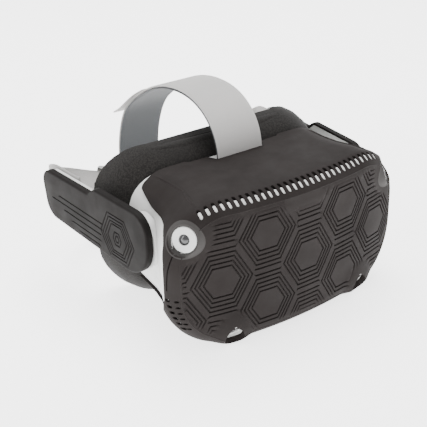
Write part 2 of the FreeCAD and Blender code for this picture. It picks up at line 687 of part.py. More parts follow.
def strap_slider():
    """Left slider on the rear strap, square to the strap where it sits."""
    plan = smooth([(x, y, 0) for x, y in STRAP_BEND])
    t = plan.parameter(V(SLIDER_X, 208.0, 0))
    spot, run = plan.value(t), plan.tangent(t)[0]
    top = smooth([(0, y, z) for y, z in STRAP_TOP])
    t = top.parameter(V(0, spot.y, 0))
    fall = top.tangent(t)[0]
    along = V(run.x, run.y, run.y * fall.z / fall.y)
    along.normalize()
    out = V(-run.y, run.x, 0)
    out.normalize()
    turn = FreeCAD.Rotation(along, out, along.cross(out), "XYZ")
    a, b, c = SLIDER_HALF
    frame = block(-a, a, -b, b, -c, c)
    frame = frame.makeFillet(2.2, frame.Edges)
    frame = frame.cut(block(-20, 20, -SLIDER_SLOT_HALF[0], SLIDER_SLOT_HALF[0], -SLIDER_SLOT_HALF[1],
                            SLIDER_SLOT_HALF[1]))
    frame = frame.cut(block(-a + 3, a - 3, -9, 9, -c + 6, -1.8)).cut(block(-a + 3, a - 3, -9, 9, 1.8, c - 6))
    middle = V(spot.x, spot.y, top.value(t).z - STRAP_H / 2)
    frame.Placement = FreeCAD.Placement(middle, turn)
    return frame


TOP_PATH = [(73.0, 44.2), (73.0, 52.0), (77.0, 66.0), (87.0, 77.5), (100.0, 84.0), (120.0, 86.6),
            (150.0, 81.5), (184.0, 64.5), (203.0, 49.0), (214.5, 29.0), (220.0, 8.0), (220.6, -9.4)]
TAIL_PATH = [(190.0, 62.0), (206.0, 49.5), (219.0, 39.5), (231.0, 32.0)]


def top_strap():
    """Band over the head: down through the visor's slot, folded back on itself, with a loose tail."""
    def band(path, thickness, half):
        return ribbon(path, thickness, lambda a, b: (-half, a, b)).extrude(V(2 * half, 0, 0))
    return join(band(TOP_PATH, TOP_STRAP_T, TOP_STRAP_HALF), band(TAIL_PATH, 1.4, TOP_STRAP_HALF - 0.5))


def strap_anchor():
    """Bar under the slot in the visor's top that the top strap is looped round."""
    bar = block(-25, 25, 70.5, 75.5, 40.5, 43.8)
    ears = [block(x - 2.2, x + 2.2, 70.5, 75.5, 40.5, 46.2) for x in (-23, 23)]
    return join(bar, *ears)


def strap_junction():
    """Stitched plate behind the head that joins the top strap to the rear strap."""
    plate = prism_y([(-24, -10.2), (24, -10.2), (20, -52.5), (-20, -52.5)], 217.6, 220.0)
    return plate.cut(Part.makeCylinder(95.0, 120, V(0, 217.7 - 95.0, -80), V(0, 0, 1)))


# ---------------------------------------------------------------- assembly
def assembly():
    nodes = {
        "rubber_protector": rubber_protector(),
        "front_shell": front_shell(),
        "rear_shell": rear_shell(),
        "vent_frame": vent_frame(),
        "inner_frame": inner_frame(),
        "frame_screws": frame_screws(),
        "main_board": main_board(),
        "heat_sink": heat_sink(),
        "fan_housing": fan_housing(),
        "fan_rotor": fan_rotor(),
        "battery": battery(),
        "screen_panel": screen_panel(),
        "screen_bezel": screen_bezel(),
        "lens_rails": lens_rails(),
        "lens_pinion": pinion(),
        "pinion_pin": pinion_pin(),
        "lens_bezel": lens_bezel(),
        "wear_sensor": wear_sensor(),
        "audio_jack": audio_jack(),
        "usb_port": usb_port(),
        "power_button": power_button(),
        "status_light": status_light(),
        "volume_rocker": volume_rocker(),
        "rocker_bracket": rocker_bracket(),
        "facial_interface": facial_interface(),
        "face_cushion": face_cushion(),
        "rear_strap": rear_strap(),
        "top_strap": top_strap(),
        "strap_anchor": strap_anchor(),
        "strap_junction": strap_junction(),
    }
    for name, at, axis, ring_r in camera_places():
        nodes["camera_ring_" + name] = aim(camera_ring(ring_r), at, axis)
        nodes["camera_glass_" + name] = aim(camera_glass(), at, axis)
        nodes["camera_module_" + name] = aim(camera_module(), at, axis)
    for hand, side in (("left", 1), ("right", -1)):
        nodes["lens_barrel_" + hand] = lens_barrel(side)
        nodes["lens_" + hand] = lens(side)
    for name, make in (("arm_sleeve", arm_sleeve), ("strap_arm", strap_arm), ("speaker", speaker),
                       ("pivot_boss", pivot_boss), ("pivot_pin", pivot_pin), ("strap_slider", strap_slider)):
        shape = make()
        nodes[name + "_left"] = shape
        nodes[name + "_right"] = mirrored(shape)
    return nodes


def export(nodes):
    """Put the origin in the middle of the base and write one STEP per node."""
    box = Part.makeCompound(list(nodes.values())).optimalBoundingBox()
    shift = V(0, -(box.YMin + box.YMax) / 2, -box.ZMin)
    print("moved by", [round(v, 3) for v in shift], "size", round(box.XLength, 1), round(box.YLength, 1),
          round(box.ZLength, 1))
    for name, shape in nodes.items():
        placed = shape.copy()
        placed.translate(shift)
        placed.exportStep("parts/" + name + ".step")


if __name__ == "__main__":
    export(assembly())
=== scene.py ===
"""Looks of the VR headset: ridged silicone skin and arm sleeves, straps, face pad, and every material.

Lengths are millimetres in the visor's own frame: y = 0 at the middle of the protector's front and
z = 0 at half of the visor's height. to_row() carries them to metres in the part's frame.
"""
import json
import math

import bmesh
import bpy
import numpy as np
from mathutils import Matrix, Vector
from mathutils.bvhtree import BVHTree
from mathutils.geometry import delaunay_2d_cdt


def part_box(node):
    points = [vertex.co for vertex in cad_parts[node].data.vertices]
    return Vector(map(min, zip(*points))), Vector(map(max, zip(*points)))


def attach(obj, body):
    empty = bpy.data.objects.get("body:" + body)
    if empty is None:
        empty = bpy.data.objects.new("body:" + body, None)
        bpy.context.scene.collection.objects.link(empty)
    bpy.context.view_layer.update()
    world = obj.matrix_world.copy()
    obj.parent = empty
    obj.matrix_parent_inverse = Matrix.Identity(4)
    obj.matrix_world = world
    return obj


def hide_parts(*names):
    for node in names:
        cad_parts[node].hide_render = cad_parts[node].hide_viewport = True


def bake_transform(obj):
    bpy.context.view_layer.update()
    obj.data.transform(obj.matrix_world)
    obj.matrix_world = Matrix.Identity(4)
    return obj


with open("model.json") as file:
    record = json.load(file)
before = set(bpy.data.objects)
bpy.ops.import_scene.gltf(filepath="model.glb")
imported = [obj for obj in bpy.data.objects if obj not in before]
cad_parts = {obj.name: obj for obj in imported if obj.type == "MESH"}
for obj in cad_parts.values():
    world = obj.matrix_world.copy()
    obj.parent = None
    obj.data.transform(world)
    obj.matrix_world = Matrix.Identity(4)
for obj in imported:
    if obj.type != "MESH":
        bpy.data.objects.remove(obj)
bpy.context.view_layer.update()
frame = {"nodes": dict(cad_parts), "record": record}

# ---------------------------------------------------------------- frame
MM = 0.001
MIDDLE_Z = 53.85                 # height of the visor's middle above the base
skin_low, skin_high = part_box("rubber_protector")
ORIGIN = np.array([0.0, skin_low.y, skin_low.z + MIDDLE_Z * MM])


def to_row(points):
    """Millimetres in the visor's frame as metres in the part's frame."""
    return np.asarray(points, float) * MM + ORIGIN


def spot(x, y, z):
    """A point of the visor's frame as a tuple in the part's frame."""
    return tuple(float(v) for v in to_row((x, y, z)))


def ramp(value, low, high):
    """Smooth step from 0 at low to 1 at high."""
    t = np.clip((np.asarray(value, float) - low) / (high - low), 0, 1)
    return t * t * (3 - 2 * t)


def unit(vectors):
    """Rows of an array scaled to length 1."""
    return vectors / np.linalg.norm(vectors, axis=1)[:, None]


def tangents(path):
    """Directions along a path of points."""
    return unit(np.gradient(path, axis=0))


def offset_path(path, distance):
    """A 2-D path moved to its left."""
    along = tangents(path)
    return path + np.stack([-along[:, 1], along[:, 0]], 1) * distance


# ---------------------------------------------------------------- mesh helpers
def link(piece):
    bpy.context.scene.collection.objects.link(piece)
    return piece


def add_mesh(name, points, faces, uv=None):
    """Closed mesh from points in the visor's frame, with its faces turned outwards."""
    mesh = bpy.data.meshes.new(name)
    mesh.from_pydata(to_row(points).tolist(), [], [tuple(int(i) for i in f) for f in faces])
    if uv is not None:
        layer = mesh.uv_layers.new(name="Weave")
        loops = np.array([loop.vertex_index for loop in mesh.loops])
        layer.data.foreach_set("uv", np.asarray(uv, np.float32)[loops].ravel())
    tidy_mesh(mesh)
    return link(bpy.data.objects.new(name, mesh))


def tidy_mesh(mesh, weld=1e-6):
    """Weld twins and turn the faces outwards."""
    bm = bmesh.new()
    bm.from_mesh(mesh)
    bmesh.ops.remove_doubles(bm, verts=bm.verts, dist=weld)
    bmesh.ops.dissolve_degenerate(bm, edges=bm.edges, dist=weld)
    bmesh.ops.recalc_face_normals(bm, faces=bm.faces)
    bm.to_mesh(mesh)
    bm.free()


def shade(piece, angle=35.0):
    """Smooth shading with edges sharper than the angle left crisp."""
    piece.data.shade_smooth()
    piece.data.set_sharp_from_angle(angle=math.radians(angle))
    return piece


def bake_modifiers(piece):
    """Apply a piece's modifiers to its mesh."""
    graph = bpy.context.evaluated_depsgraph_get()
    mesh = bpy.data.meshes.new_from_object(piece.evaluated_get(graph), depsgraph=graph)
    piece.modifiers.clear()
    piece.data = mesh
    return piece


def combine(piece, tool, operation="DIFFERENCE"):
    """Cut a piece with a tool mesh, which is used up."""
    step = piece.modifiers.new("cut", "BOOLEAN")
    step.operation = operation
    step.solver = "MANIFOLD"
    step.object = tool
    bake_modifiers(piece)
    bpy.data.objects.remove(tool)
    return piece


def join(name, pieces):
    """One object from several, kept as separate closed shells."""
    bm = bmesh.new()
    for piece in pieces:
        bm.from_mesh(piece.data)
    mesh = bpy.data.meshes.new(name)
    bm.to_mesh(mesh)
    bm.free()
    for piece in pieces:
        bpy.data.objects.remove(piece)
    return link(bpy.data.objects.new(name, mesh))


def strips(rows, count, closed=True, start=0):
    """Quads between successive rows of count points each."""
    faces = []
    for r in range(rows - 1):
        a, b = start + r * count, start + (r + 1) * count
        for k in range(count if closed else count - 1):
            n = (k + 1) % count
            faces.append((a + k, a + n, b + n, b + k))
    return faces


def rounded_loop(corners, steps=5):
    """Closed 2-D outline from (a, b, radius) corners, each rounded by its radius."""
    loop = []
    for k, (a, b, r) in enumerate(corners):
        here = np.array([a, b], float)
        before = np.array(corners[k - 1][:2], float) - here
        after = np.array(corners[(k + 1) % len(corners)][:2], float) - here
        before /= np.linalg.norm(before)
        after /= np.linalg.norm(after)
        half = math.acos(np.clip(before @ after, -1, 1)) / 2
        if r <= 0 or abs(half - math.pi / 2) < 1e-3:
            loop.append(here)
            continue
        middle = (before + after) / np.linalg.norm(before + after)
        centre = here + middle * r / math.sin(half)
        ends = [here + side * r / math.tan(half) - centre for side in (before, after)]
        for t in np.linspace(0, 1, steps + 1):
            way = ends[0] * (1 - t) + ends[1] * t
            loop.append(centre + way / np.linalg.norm(way) * r)
    return np.array(loop)


def rectangle(a0, a1, b0, b1, radius=0.0):
    """Corners of a rectangle for rounded_loop."""
    return [(a0, b0, radius), (a1, b0, radius), (a1, b1, radius), (a0, b1, radius)]


def caps(rows, count):
    """The two end faces of rows of count points each."""
    return [tuple(range(count)), tuple(range((rows - 1) * count, rows * count))]


def prism(name, loop, place, low, high):
    """Closed prism: a 2-D outline carried from low to high; place turns (a, b, c) into a point."""
    count = len(loop)
    points = [place(a, b, c) for c in (low, high) for a, b in loop]
    return add_mesh(name, points, strips(2, count) + caps(2, count))


def spline(points, count):
    """Points evenly spread along a smooth curve through the given ones."""
    points = np.asarray(points, float)
    knots = np.r_[0, np.cumsum(np.linalg.norm(np.diff(points, axis=0), axis=1))]
    n, h = len(points), np.diff(knots)
    system, right = np.zeros((n, n)), np.zeros_like(points)
    system[0, 0] = system[-1, -1] = 1
    for i in range(1, n - 1):
        system[i, i - 1:i + 2] = h[i - 1], 2 * (h[i - 1] + h[i]), h[i]
        right[i] = 6 * ((points[i + 1] - points[i]) / h[i] - (points[i] - points[i - 1]) / h[i - 1])
    bend = np.linalg.solve(system, right)

    def at(t):
        k = np.clip(np.searchsorted(knots, t) - 1, 0, n - 2)
        left, rest, span = (t - knots[k])[:, None], (knots[k + 1] - t)[:, None], h[k][:, None]
        return ((bend[k] * rest ** 3 + bend[k + 1] * left ** 3) / (6 * span)
                + (points[k] / span - bend[k] * span / 6) * rest
                + (points[k + 1] / span - bend[k + 1] * span / 6) * left)

    fine = at(np.linspace(0, knots[-1], 40 * n))
    run = np.r_[0, np.cumsum(np.linalg.norm(np.diff(fine, axis=0), axis=1))]
    wanted = np.linspace(0, run[-1], count)
    return np.stack([np.interp(wanted, run, fine[:, k]) for k in range(points.shape[1])], 1)


# ---------------------------------------------------------------- visor form
FRONT_R = 318.0                  # plan radius of the bowed front
EDGE_R = 13.0                    # rounding of the front's edge
STATIONS = np.array([            # y, half width, top, bottom, top and bottom corner radius
    (-2.0, 104.0, 53.5, -54.0, 44.0, 50.0),
    (30.0, 96.4, 53.0, -54.0, 40.0, 46.0),
    (44.0, 90.0, 52.5, -51.0, 37.0, 42.0),
    (60.0, 87.0, 51.5, -47.5, 33.0, 38.0),
    (112.0, 87.0, 50.0, -36.0, 28.0, 32.0),
])


def station(y):
    """Half width, top, bottom and the two corner radii at y."""
    return [np.interp(y, STATIONS[:, 0], STATIONS[:, k]) for k in range(1, 6)]


def wall_distance(p):
    """Distance outside the visor's top, sides and underside, below 0 inside."""
    half, top, bottom, r_top, r_bottom = station(p[..., 1])
    above = p[..., 2] > (top + bottom) / 2
    r = np.where(above, r_top, r_bottom)
    across = np.abs(p[..., 0]) - half + r
    up = np.where(above, p[..., 2] - top, bottom - p[..., 2]) + r
    return np.minimum(np.maximum(across, up), 0) + np.hypot(np.maximum(across, 0), np.maximum(up, 0)) - r


def form(p):
    """Distance outside the whole visor, with its front edge rounded."""
    a = np.hypot(p[..., 0], p[..., 1] - FRONT_R) - FRONT_R
    b = wall_distance(p)
    outside = np.hypot(np.maximum(a + EDGE_R, 0), np.maximum(b + EDGE_R, 0))
    return np.minimum(np.maximum(a, b), -EDGE_R) + outside


def cast(start, way, reach, inset):
    """Where lines from inside the visor cross its surface, moved in by inset."""
    low, high = np.zeros(len(start)), np.full(len(start), float(reach))
    for _ in range(40):
        middle = (low + high) / 2
        inside = form(start + way * middle[:, None]) < -inset
        low, high = np.where(inside, middle, low), np.where(inside, high, middle)
    return start + way * low[:, None]


CREASE_DEG = 20.0                # where the crease runs over the top's rounded corners
CREASE_H, CREASE_HALF = 0.7, 1.1
RIM_H, RIM_DEG = 0.32, 2.2       # bead round the ridged front: its height and half its width


def columns(spacing):
    """Lines that run back along the visor: their corner centres, share between them, and angle."""
    found = []
    for k in range(4):
        a0 = 90.0 * k
        radius = 42.0 if k < 2 else 46.0
        angles = list(np.linspace(a0, a0 + 90, max(4, round(radius * math.pi / 2 / spacing)) + 1))
        if k < 2:
            crease = 90 + (CREASE_DEG if k else -CREASE_DEG)
            width = math.degrees(CREASE_HALF / radius)
            angles = [a for a in angles if abs(a - crease) > 1.6 * width]
            angles += [crease + width * f for f in (-1, -0.5, 0, 0.5, 1)]
        found += [(k, k, 0.0, a) for a in sorted(angles)]
        length = 114.0 if k % 2 == 0 else 20.0
        steps = max(2, round(length / spacing))
        found += [(k, (k + 1) % 4, i / steps, a0 + 90) for i in range(1, steps)]
    table = np.array(found)
    return table[:, 0].astype(int), table[:, 1].astype(int), table[:, 2], table[:, 3]


def column_points(lines, y, inset):
    """The columns' points at y, moved in by inset, and their outward directions."""
    first, second, share, angle = lines
    half, top, bottom, r_top, r_bottom = station(y)
    centres = np.array([(half - r_top, top - r_top, r_top), (-half + r_top, top - r_top, r_top),
                        (-half + r_bottom, bottom + r_bottom, r_bottom),
                        (half - r_bottom, bottom + r_bottom, r_bottom)])
    each = np.arange(len(first))
    x, z, r = (centres[first, k, each] * (1 - share) + centres[second, k, each] * share for k in range(3))
    nx, nz = np.cos(np.radians(angle)), np.sin(np.radians(angle))
    point = np.stack([x + (r - inset) * nx, np.broadcast_to(y, x.shape), z + (r - inset) * nz], 1)
    return point, np.stack([nx, np.zeros_like(nx), nz], 1)


def crease_height(lines, y):
    """Height of the soft crease along the two upper corners."""
    angle, share = lines[3], lines[2]
    away = np.minimum(abs(angle - 90 + CREASE_DEG), abs(angle - 90 - CREASE_DEG))
    bead = np.clip(1 - (np.radians(away) * 42.0 / CREASE_HALF) ** 2, 0, 1)
    return CREASE_H * bead * (share == 0) * ramp(y, 12, 20) * ramp(-y, -80, -70)


# ---------------------------------------------------------------- ridges of the front
CELL_X, CELL_Z = 3.8, -0.6       # middle of the central cell
CELL_DX, CELL_DZ = 33.3, 26.4    # from a cell to the next column's
PLATEAU_UP, PLATEAU_SIDE = 10.9, 11.2   # from a cell's middle to its plateau's edges
PITCH_UP, PITCH_SIDE = 3.3, 2.4         # between grooves above and beside the plateau
RINGS = 4
GROOVE_DEEP, GROOVE_HALF, GROOVE_FLAT = 0.95, 0.62, 0.16
COS30 = math.cos(math.radians(30))
LAND = CELL_DX * COS30 / 2 + CELL_DZ / 4   # from a cell's middle to its slanted border


def cell_centres():
    """Middles of the hexagonal cells, as (x, z)."""
    for column in range(-3, 4):
        for row in range(-2, 3):
            z = CELL_Z + (2 * row + (column % 2)) * CELL_DZ
            yield CELL_X + column * CELL_DX, z


def cell_outline(step, offset):
    """Ring of a cell at a groove's number and an offset to its side, as (dx, dz) corners."""
    up = PLATEAU_UP + PITCH_UP * step + offset
    side = PLATEAU_SIDE + PITCH_SIDE * step + offset
    width = (side - up / 2) / COS30
    tip = side / COS30
    return [(width, up), (-width, up), (-tip, 0.0), (-width, -up), (width, -up), (tip, 0.0)]


def groove_lines():
    """Line pieces that bound every groove on the front, as pairs of (x, z) points."""
    offsets = (-GROOVE_HALF, -GROOVE_FLAT, GROOVE_FLAT, GROOVE_HALF)
    for cx, cz in cell_centres():
        for step in range(RINGS):
            for offset in offsets:
                ring = cell_outline(step, offset)
                for a, b in zip(ring, ring[1:] + ring[:1]):
                    yield (cx + a[0], cz + a[1]), (cx + b[0], cz + b[1])
        for offset in offsets:
            up = PLATEAU_UP + PITCH_UP * RINGS + offset
            width = (LAND - 0.9 - up / 2) / COS30
            for sign in (1, -1):
                yield (cx - width, cz + sign * up), (cx + width, cz + sign * up)


def groove_profile(away):
    """Share of a groove's depth at a distance from its middle."""
    return np.clip((GROOVE_HALF - away) / (GROOVE_HALF - GROOVE_FLAT), 0, 1)


def front_relief(x, z):
    """How far the front sinks at (x, z)."""
    deep = np.zeros_like(x)
    for cx, cz in cell_centres():
        dx, dz = np.abs(x - cx), np.abs(z - cz)
        side = dz / 2 + dx * COS30
        for step in range(RINGS):
            ring = np.maximum(dz - PLATEAU_UP - PITCH_UP * step, side - PLATEAU_SIDE - PITCH_SIDE * step)
            deep = np.maximum(deep, groove_profile(np.abs(ring)) * (side < LAND))
        bar = np.abs(dz - PLATEAU_UP - PITCH_UP * RINGS)
        deep = np.maximum(deep, groove_profile(bar) * (side < LAND - 0.8))
    return GROOVE_DEEP * deep


RING_AT = ((85.0, 35.0, 15.5), (56.5, -40.5, 11.0))   # x, z and radius of the plain area round a camera


def edge_inset(x, z):
    """How far the front at (x, z) lies inside the visor's outline."""
    y = FRONT_R - np.sqrt(FRONT_R ** 2 - x ** 2)
    return -wall_distance(np.stack([x, y, z], -1))


def relief_fade(x, z):
    """1 where the ridges are full, falling to 0 at the front's edge and round the cameras."""
    fade = ramp(edge_inset(x, z), 9.0, 13.5)
    for cx, cz, radius in RING_AT:
        for side in (-1, 1):
            fade = fade * ramp(np.hypot(x - side * cx, z - cz), radius, radius + 5)
    smooth_top = ramp(z, 30, 39) * (1 - ramp(np.abs(x - 1), 14, 21))
    return fade * (1 - smooth_top)


# ---------------------------------------------------------------- skin
START_INSET = 8.0                # the front's flat mesh starts here, from the outline
SKIN_BACK = 88.0
SKIN_T = 2.0
FINE, COARSE = 2.2, 4.5          # spacing of the points on the skin and on the tools that cut it
FILL_SINK = 0.12                 # how far the slots' fillings stand clear of the shell's depth
LIP_H, LIP_RUN = 2.5, 10.0       # height of the swelling round a lower camera, and its run beyond the ring
LIP_CREST, LIP_REACH = 1.5, 8.0  # how far inside the ring it is full, and how far behind the ring it reaches


def lower_lips(points):
    """Raised pads of the skin that shade the lower cameras."""
    lift = np.zeros_like(points)
    for height, _, at, axis, r in camera_sides():
        if height == "lower":
            out = np.array(Vector(axis).normalized())
            away = points - np.array(at)
            along = away @ out
            radius = np.linalg.norm(away - along[:, None] * out, axis=1)
            share = ramp(-radius, -r - LIP_RUN, -r + LIP_CREST) * (along > -LIP_REACH)
            lift += out * (LIP_H * share)[:, None]
    return lift


def visor_solid(name, inset, spacing, relief):
    """Closed mesh of the visor's outside moved in by inset, ridged on its front if relief is set."""
    lines = columns(spacing)
    count = len(lines[0])
    centre_y = np.full(count, 20.0)
    for _ in range(30):          # the middle of the rounded edge lies on its own offset front face
        point, _ = column_points(lines, centre_y, EDGE_R)
        centre_y = FRONT_R - np.sqrt((FRONT_R - EDGE_R) ** 2 - point[:, 0] ** 2)
    middle, out = column_points(lines, centre_y, EDGE_R)
    first = math.asin((EDGE_R - START_INSET) / EDGE_R)
    turns = [(turn, 0.0) for turn in np.linspace(first, math.pi / 2, 12 if relief else 6)]
    if relief:
        bead = math.radians(RIM_DEG)
        turns[1:1] = [(first + bead * k, RIM_H * h) for k, h in ((0.5, 0.7), (1, 1), (1.5, 0.7), (2, 0))]
    rows = []
    for turn, lift in turns:
        way = out * math.sin(turn) + np.array([0, -math.cos(turn), 0])
        rows.append(cast(middle, way, 40, inset) + way * lift)
    steps = 24 if relief else 12
    for k in range(1, steps + 1):
        y = centre_y + (SKIN_BACK + inset - centre_y) * k / steps
        lift = crease_height(lines, y) if relief else 0
        rows.append(column_points(lines, y, inset - lift)[0])
    border = rows[0]
    points, faces = front_patch(border, inset, spacing, relief)
    start = len(points)
    points = np.vstack([points] + rows)
    if relief:
        points = points + lower_lips(points)
    faces += strips(len(rows), count, start=start)
    last = start + (len(rows) - 1) * count
    faces.append(tuple(range(last, last + count)))
    return add_mesh(name, points, faces)


def inside_loop(loop, points):
    """True for 2-D points inside a closed loop."""
    x, z = points[:, 0], points[:, 1]
    inside = np.zeros(len(points), bool)
    for a, b in zip(loop, np.roll(loop, -1, 0)):
        crosses = (a[1] > z) != (b[1] > z)
        level = np.where(crosses, (b[0] - a[0]) * (z - a[1]) / (b[1] - a[1] + 1e-12) + a[0], 0)
        inside ^= crosses & (x < level)
    return inside


def segment_distance(points, a, b):
    """Distance from points to the piece of line from a to b."""
    a, b = np.array(a, float), np.array(b, float)
    along = b - a
    t = np.clip(((points - a) @ along) / (along @ along), 0, 1)
    return np.linalg.norm(points - (a + t[:, None] * along), axis=1)


def loop_distance(points, loop):
    """Distance from points to a closed loop."""
    away = np.full(len(points), 1e9)
    for a, b in zip(loop, np.roll(loop, -1, 0)):
        away = np.minimum(away, segment_distance(points, a, b))
    return away


def clear_of(loop, points, gap):
    """True for points inside a loop and at least a gap away from it."""
    return inside_loop(loop, points) & (loop_distance(points, loop) > gap)


def triangulate(loop, lines, extra, piece, keep=None):
    """Triangles inside a loop that follow the given lines, cut into pieces and kept where keep is true."""
    runs = []
    for a, b in lines:
        steps = max(1, math.ceil(math.dist(a, b) / piece))
        runs.append(np.array(a) + (np.array(b) - np.array(a)) * np.linspace(0, 1, steps + 1)[:, None])
    points, edges = [tuple(p) for p in loop], [(k, (k + 1) % len(loop)) for k in range(len(loop))]
    if runs:
        good = keep(np.vstack(runs))
        ids = np.where(good, np.cumsum(good) - 1 + len(points), -1)
        points += [tuple(p) for p in np.vstack(runs)[good]]
        start = 0
        for run in runs:
            own = ids[start:start + len(run)]
            edges += [(int(i), int(j)) for i, j in zip(own, own[1:]) if i >= 0 and j >= 0]
            start += len(run)
    points += [tuple(p) for p in extra]
    made = delaunay_2d_cdt([Vector(p) for p in points], edges, [], 0, 1e-4)
    flat = np.array([tuple(v) for v in made[0]])
    faces = np.array([tuple(f) for f in made[2]])
    middle = flat[faces].mean(1)
    return flat, faces[inside_loop(np.array(loop), middle)]


def front_patch(border, inset, spacing, relief):
    """Front face inside a border ring, as points and triangles."""
    loop = border[:, [0, 2]]

    def keep(run):
        return clear_of(loop, run, 0.8) & (relief_fade(run[:, 0], run[:, 1]) > 0.02)

    lines = list(groove_lines()) if relief else []
    step = spacing * 1.4
    grid = np.stack(np.meshgrid(np.arange(-96, 96, step), np.arange(-54, 54, step)), -1).reshape(-1, 2)
    grid = grid[clear_of(loop, grid, spacing * 0.7)]
    flat, faces = triangulate(loop, lines, grid, 1.8, keep)
    start = np.stack([flat[:, 0], np.full(len(flat), 34.0), flat[:, 1]], 1)
    on_form = cast(start, np.tile([0.0, -1.0, 0.0], (len(start), 1)), 40, inset)
    if relief:
        on_form[:, 1] += front_relief(flat[:, 0], flat[:, 1]) * relief_fade(flat[:, 0], flat[:, 1])
    for k, at in enumerate(border):      # the border's own points stay exactly in place
        near = np.hypot(*(flat - at[[0, 2]]).T) < 1e-3
        on_form[near] = at
    return on_form, [tuple(f) for f in faces]


SIDE_WINDOW = [                  # y, z and radius of the corners of the opening over a side panel
    (36.0, 36.2, 6.0), (26.0, 31.0, 9.0), (22.9, 17.0, 12.0), (23.4, -10.0, 9.0), (28.0, -20.0, 6.0),
    (37.0, -25.5, 6.0), (130.0, -25.5, 0), (130.0, 60.0, 0), (84.0, 60.0, 0), (80.5, 43.0, 4.0),
    (60.0, 37.4, 12.0),
]
REAR_EDGE = [                    # x, y and radius along the skin's rear edge, from its middle to a side
    (20.0, 71.0, 2.5), (23.5, 79.0, 3.0), (38.5, 79.5, 1.0), (40.5, 82.0, 1.0), (130.0, 82.0, 0),
    (130.0, 130.0, 0),
]
SKIN_REAR = [(-x, y, r) for x, y, r in REAR_EDGE[-2::-1]] + REAR_EDGE + [(-130.0, 130.0, 0)]
SLOTS, SLOT_PITCH, SLOT_W = 31, 4.85, 2.4
SLOT_ROUND = 0.9                 # share of half a slot's width that rounds its ends
SLOT_HEIGHTS = (36, 60)          # the tools that cut the slots run between these heights
SLOT_START, SLOT_END = 3.2, 11.2 # where a slot starts and ends behind the front face
SLOT_BOW = 0.75                  # share of the front's bow that the slots' rear ends follow
TOOTH_END = 4.4                  # length of the front shell's tooth, from a slot's start
SLOT_PLAY = 0.1                  # between a tooth and the slot round it
TOOTH_DEPTH, PAINTED_SHADE_DEPTH = 0.55, 1.75   # of the teeth and of the black pieces of painted shade that stand for the dark vent gap, below the skin's surface
SPLIT = [(14.3, 44.0), (15.0, 36.0), (16.2, 28.0), (18.4, 17.0), (20.2, 6.0), (20.7, -2.0)]
SLIT_HALF = 0.45
LOW_SLOT_Z, LOW_SLOT_PITCH, LOW_SLOTS = -9.0, 4.6, 6
LOW_SLOT_ROWS = [(20.8, 0.85, 1.8, 1.15), (15.4, 0.3, 1.2, 0.8)]   # y, slant, half length and half height
LOW_SLOT_ROUND = 0.85
SLIT_IN, LOW_SLOT_IN, CUT_OUT = 64, 66, 112      # x between which the side's cutting tools run
CAMERAS = {                      # place, direction and ring radius, for the wearer's left
    "upper": ((84.6, 15.4, 33.6), (0.78, -0.56, 0.28), 8.4),
    "lower": ((55.0, 7.4, -43.0), (0.15, -0.75, -0.64), 7.4),
}
ROCKER_AT, ROCKER_HALF, ROCKER_ROUND = (40.0, 53.0), (13.0, 5.3), 2
FOOT_Z = -MIDDLE_Z
CAMERA_REACH = 14                # how far either way of a camera ring its tools and rays start


def along_x(a, b, c):
    return (c, a, b)


def along_z(a, b, c):
    return (a, b, c)


def lathe(name, profile, at, axis, count=48):
    """Closed turned shape: (radius, depth) profile round an axis, depth running against the axis."""
    out = Vector(axis).normalized()
    turn = Vector((0, 0, 1)).rotation_difference(out).to_matrix()
    points = []
    for r, d in profile:
        for k in range(count):
            a = 2 * math.pi * k / count
            points.append(Vector(at) + turn @ Vector((r * math.cos(a), r * math.sin(a), -d)))
    faces = strips(len(profile), count) + caps(len(profile), count)
    return add_mesh(name, [tuple(p) for p in points], faces)


def camera_sides():
    """Height, hand, place, direction and ring radius of each of the four cameras."""
    for height, (at, axis, radius) in CAMERAS.items():
        for hand, side in (("left", 1), ("right", -1)):
            yield height, hand, (side * at[0], at[1], at[2]), (side * axis[0], axis[1], axis[2]), radius


def front_y(x):
    """How far the bowed front lies behind its middle at x."""
    return FRONT_R - math.sqrt(FRONT_R ** 2 - x ** 2)


def slot_prisms(name, span, gap=0.0):
    """Rounded prisms on the slots; span turns a slot's two ends into the ends that are wanted."""
    half = SLOT_W / 2 - gap
    prisms = []
    for k in range(SLOTS):
        x = (k - (SLOTS - 1) / 2) * SLOT_PITCH
        y0, y1 = span(front_y(x) + SLOT_START, SLOT_BOW * front_y(x) + SLOT_END)
        corners = rectangle(x - half, x + half, y0, y1, half * SLOT_ROUND)
        prisms.append(prism("slot", rounded_loop(corners), along_z, *SLOT_HEIGHTS))
    return join(name, prisms)


def slot_fill(name, span, top, finish):
    """Pieces that stand on the shell inside the slots, up to a depth below the skin's surface."""
    fill = slot_prisms(name, span, SLOT_PLAY)
    combine(fill, visor_solid("outer", top, COARSE, False), "INTERSECT")
    combine(fill, visor_solid("inner", SKIN_T + FILL_SINK, COARSE, False))
    paint(shade(fill, 40), finish)
    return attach(fill, "visor")


def slit_tool(side):
    """Narrow slit beside an upper camera, over the join of the headset's shells."""
    path = spline(SPLIT, 24)
    loop = np.vstack([offset_path(path, SLIT_HALF), offset_path(path, -SLIT_HALF)[::-1]])
    return prism("slit", loop, along_x, side * SLIT_IN, side * CUT_OUT)


def low_slot_tools(side):
    """Two short rows of slots that carry the slit on down the lower corner."""
    tools = []
    for k in range(LOW_SLOTS):
        z = LOW_SLOT_Z - LOW_SLOT_PITCH * k
        for y, slant, half, tall in LOW_SLOT_ROWS:
            y -= slant * k
            corners = rectangle(y - half, y + half, z - tall, z + tall, tall * LOW_SLOT_ROUND)
            tools.append(prism("slot", rounded_loop(corners), along_x, side * LOW_SLOT_IN, side * CUT_OUT))
    return tools


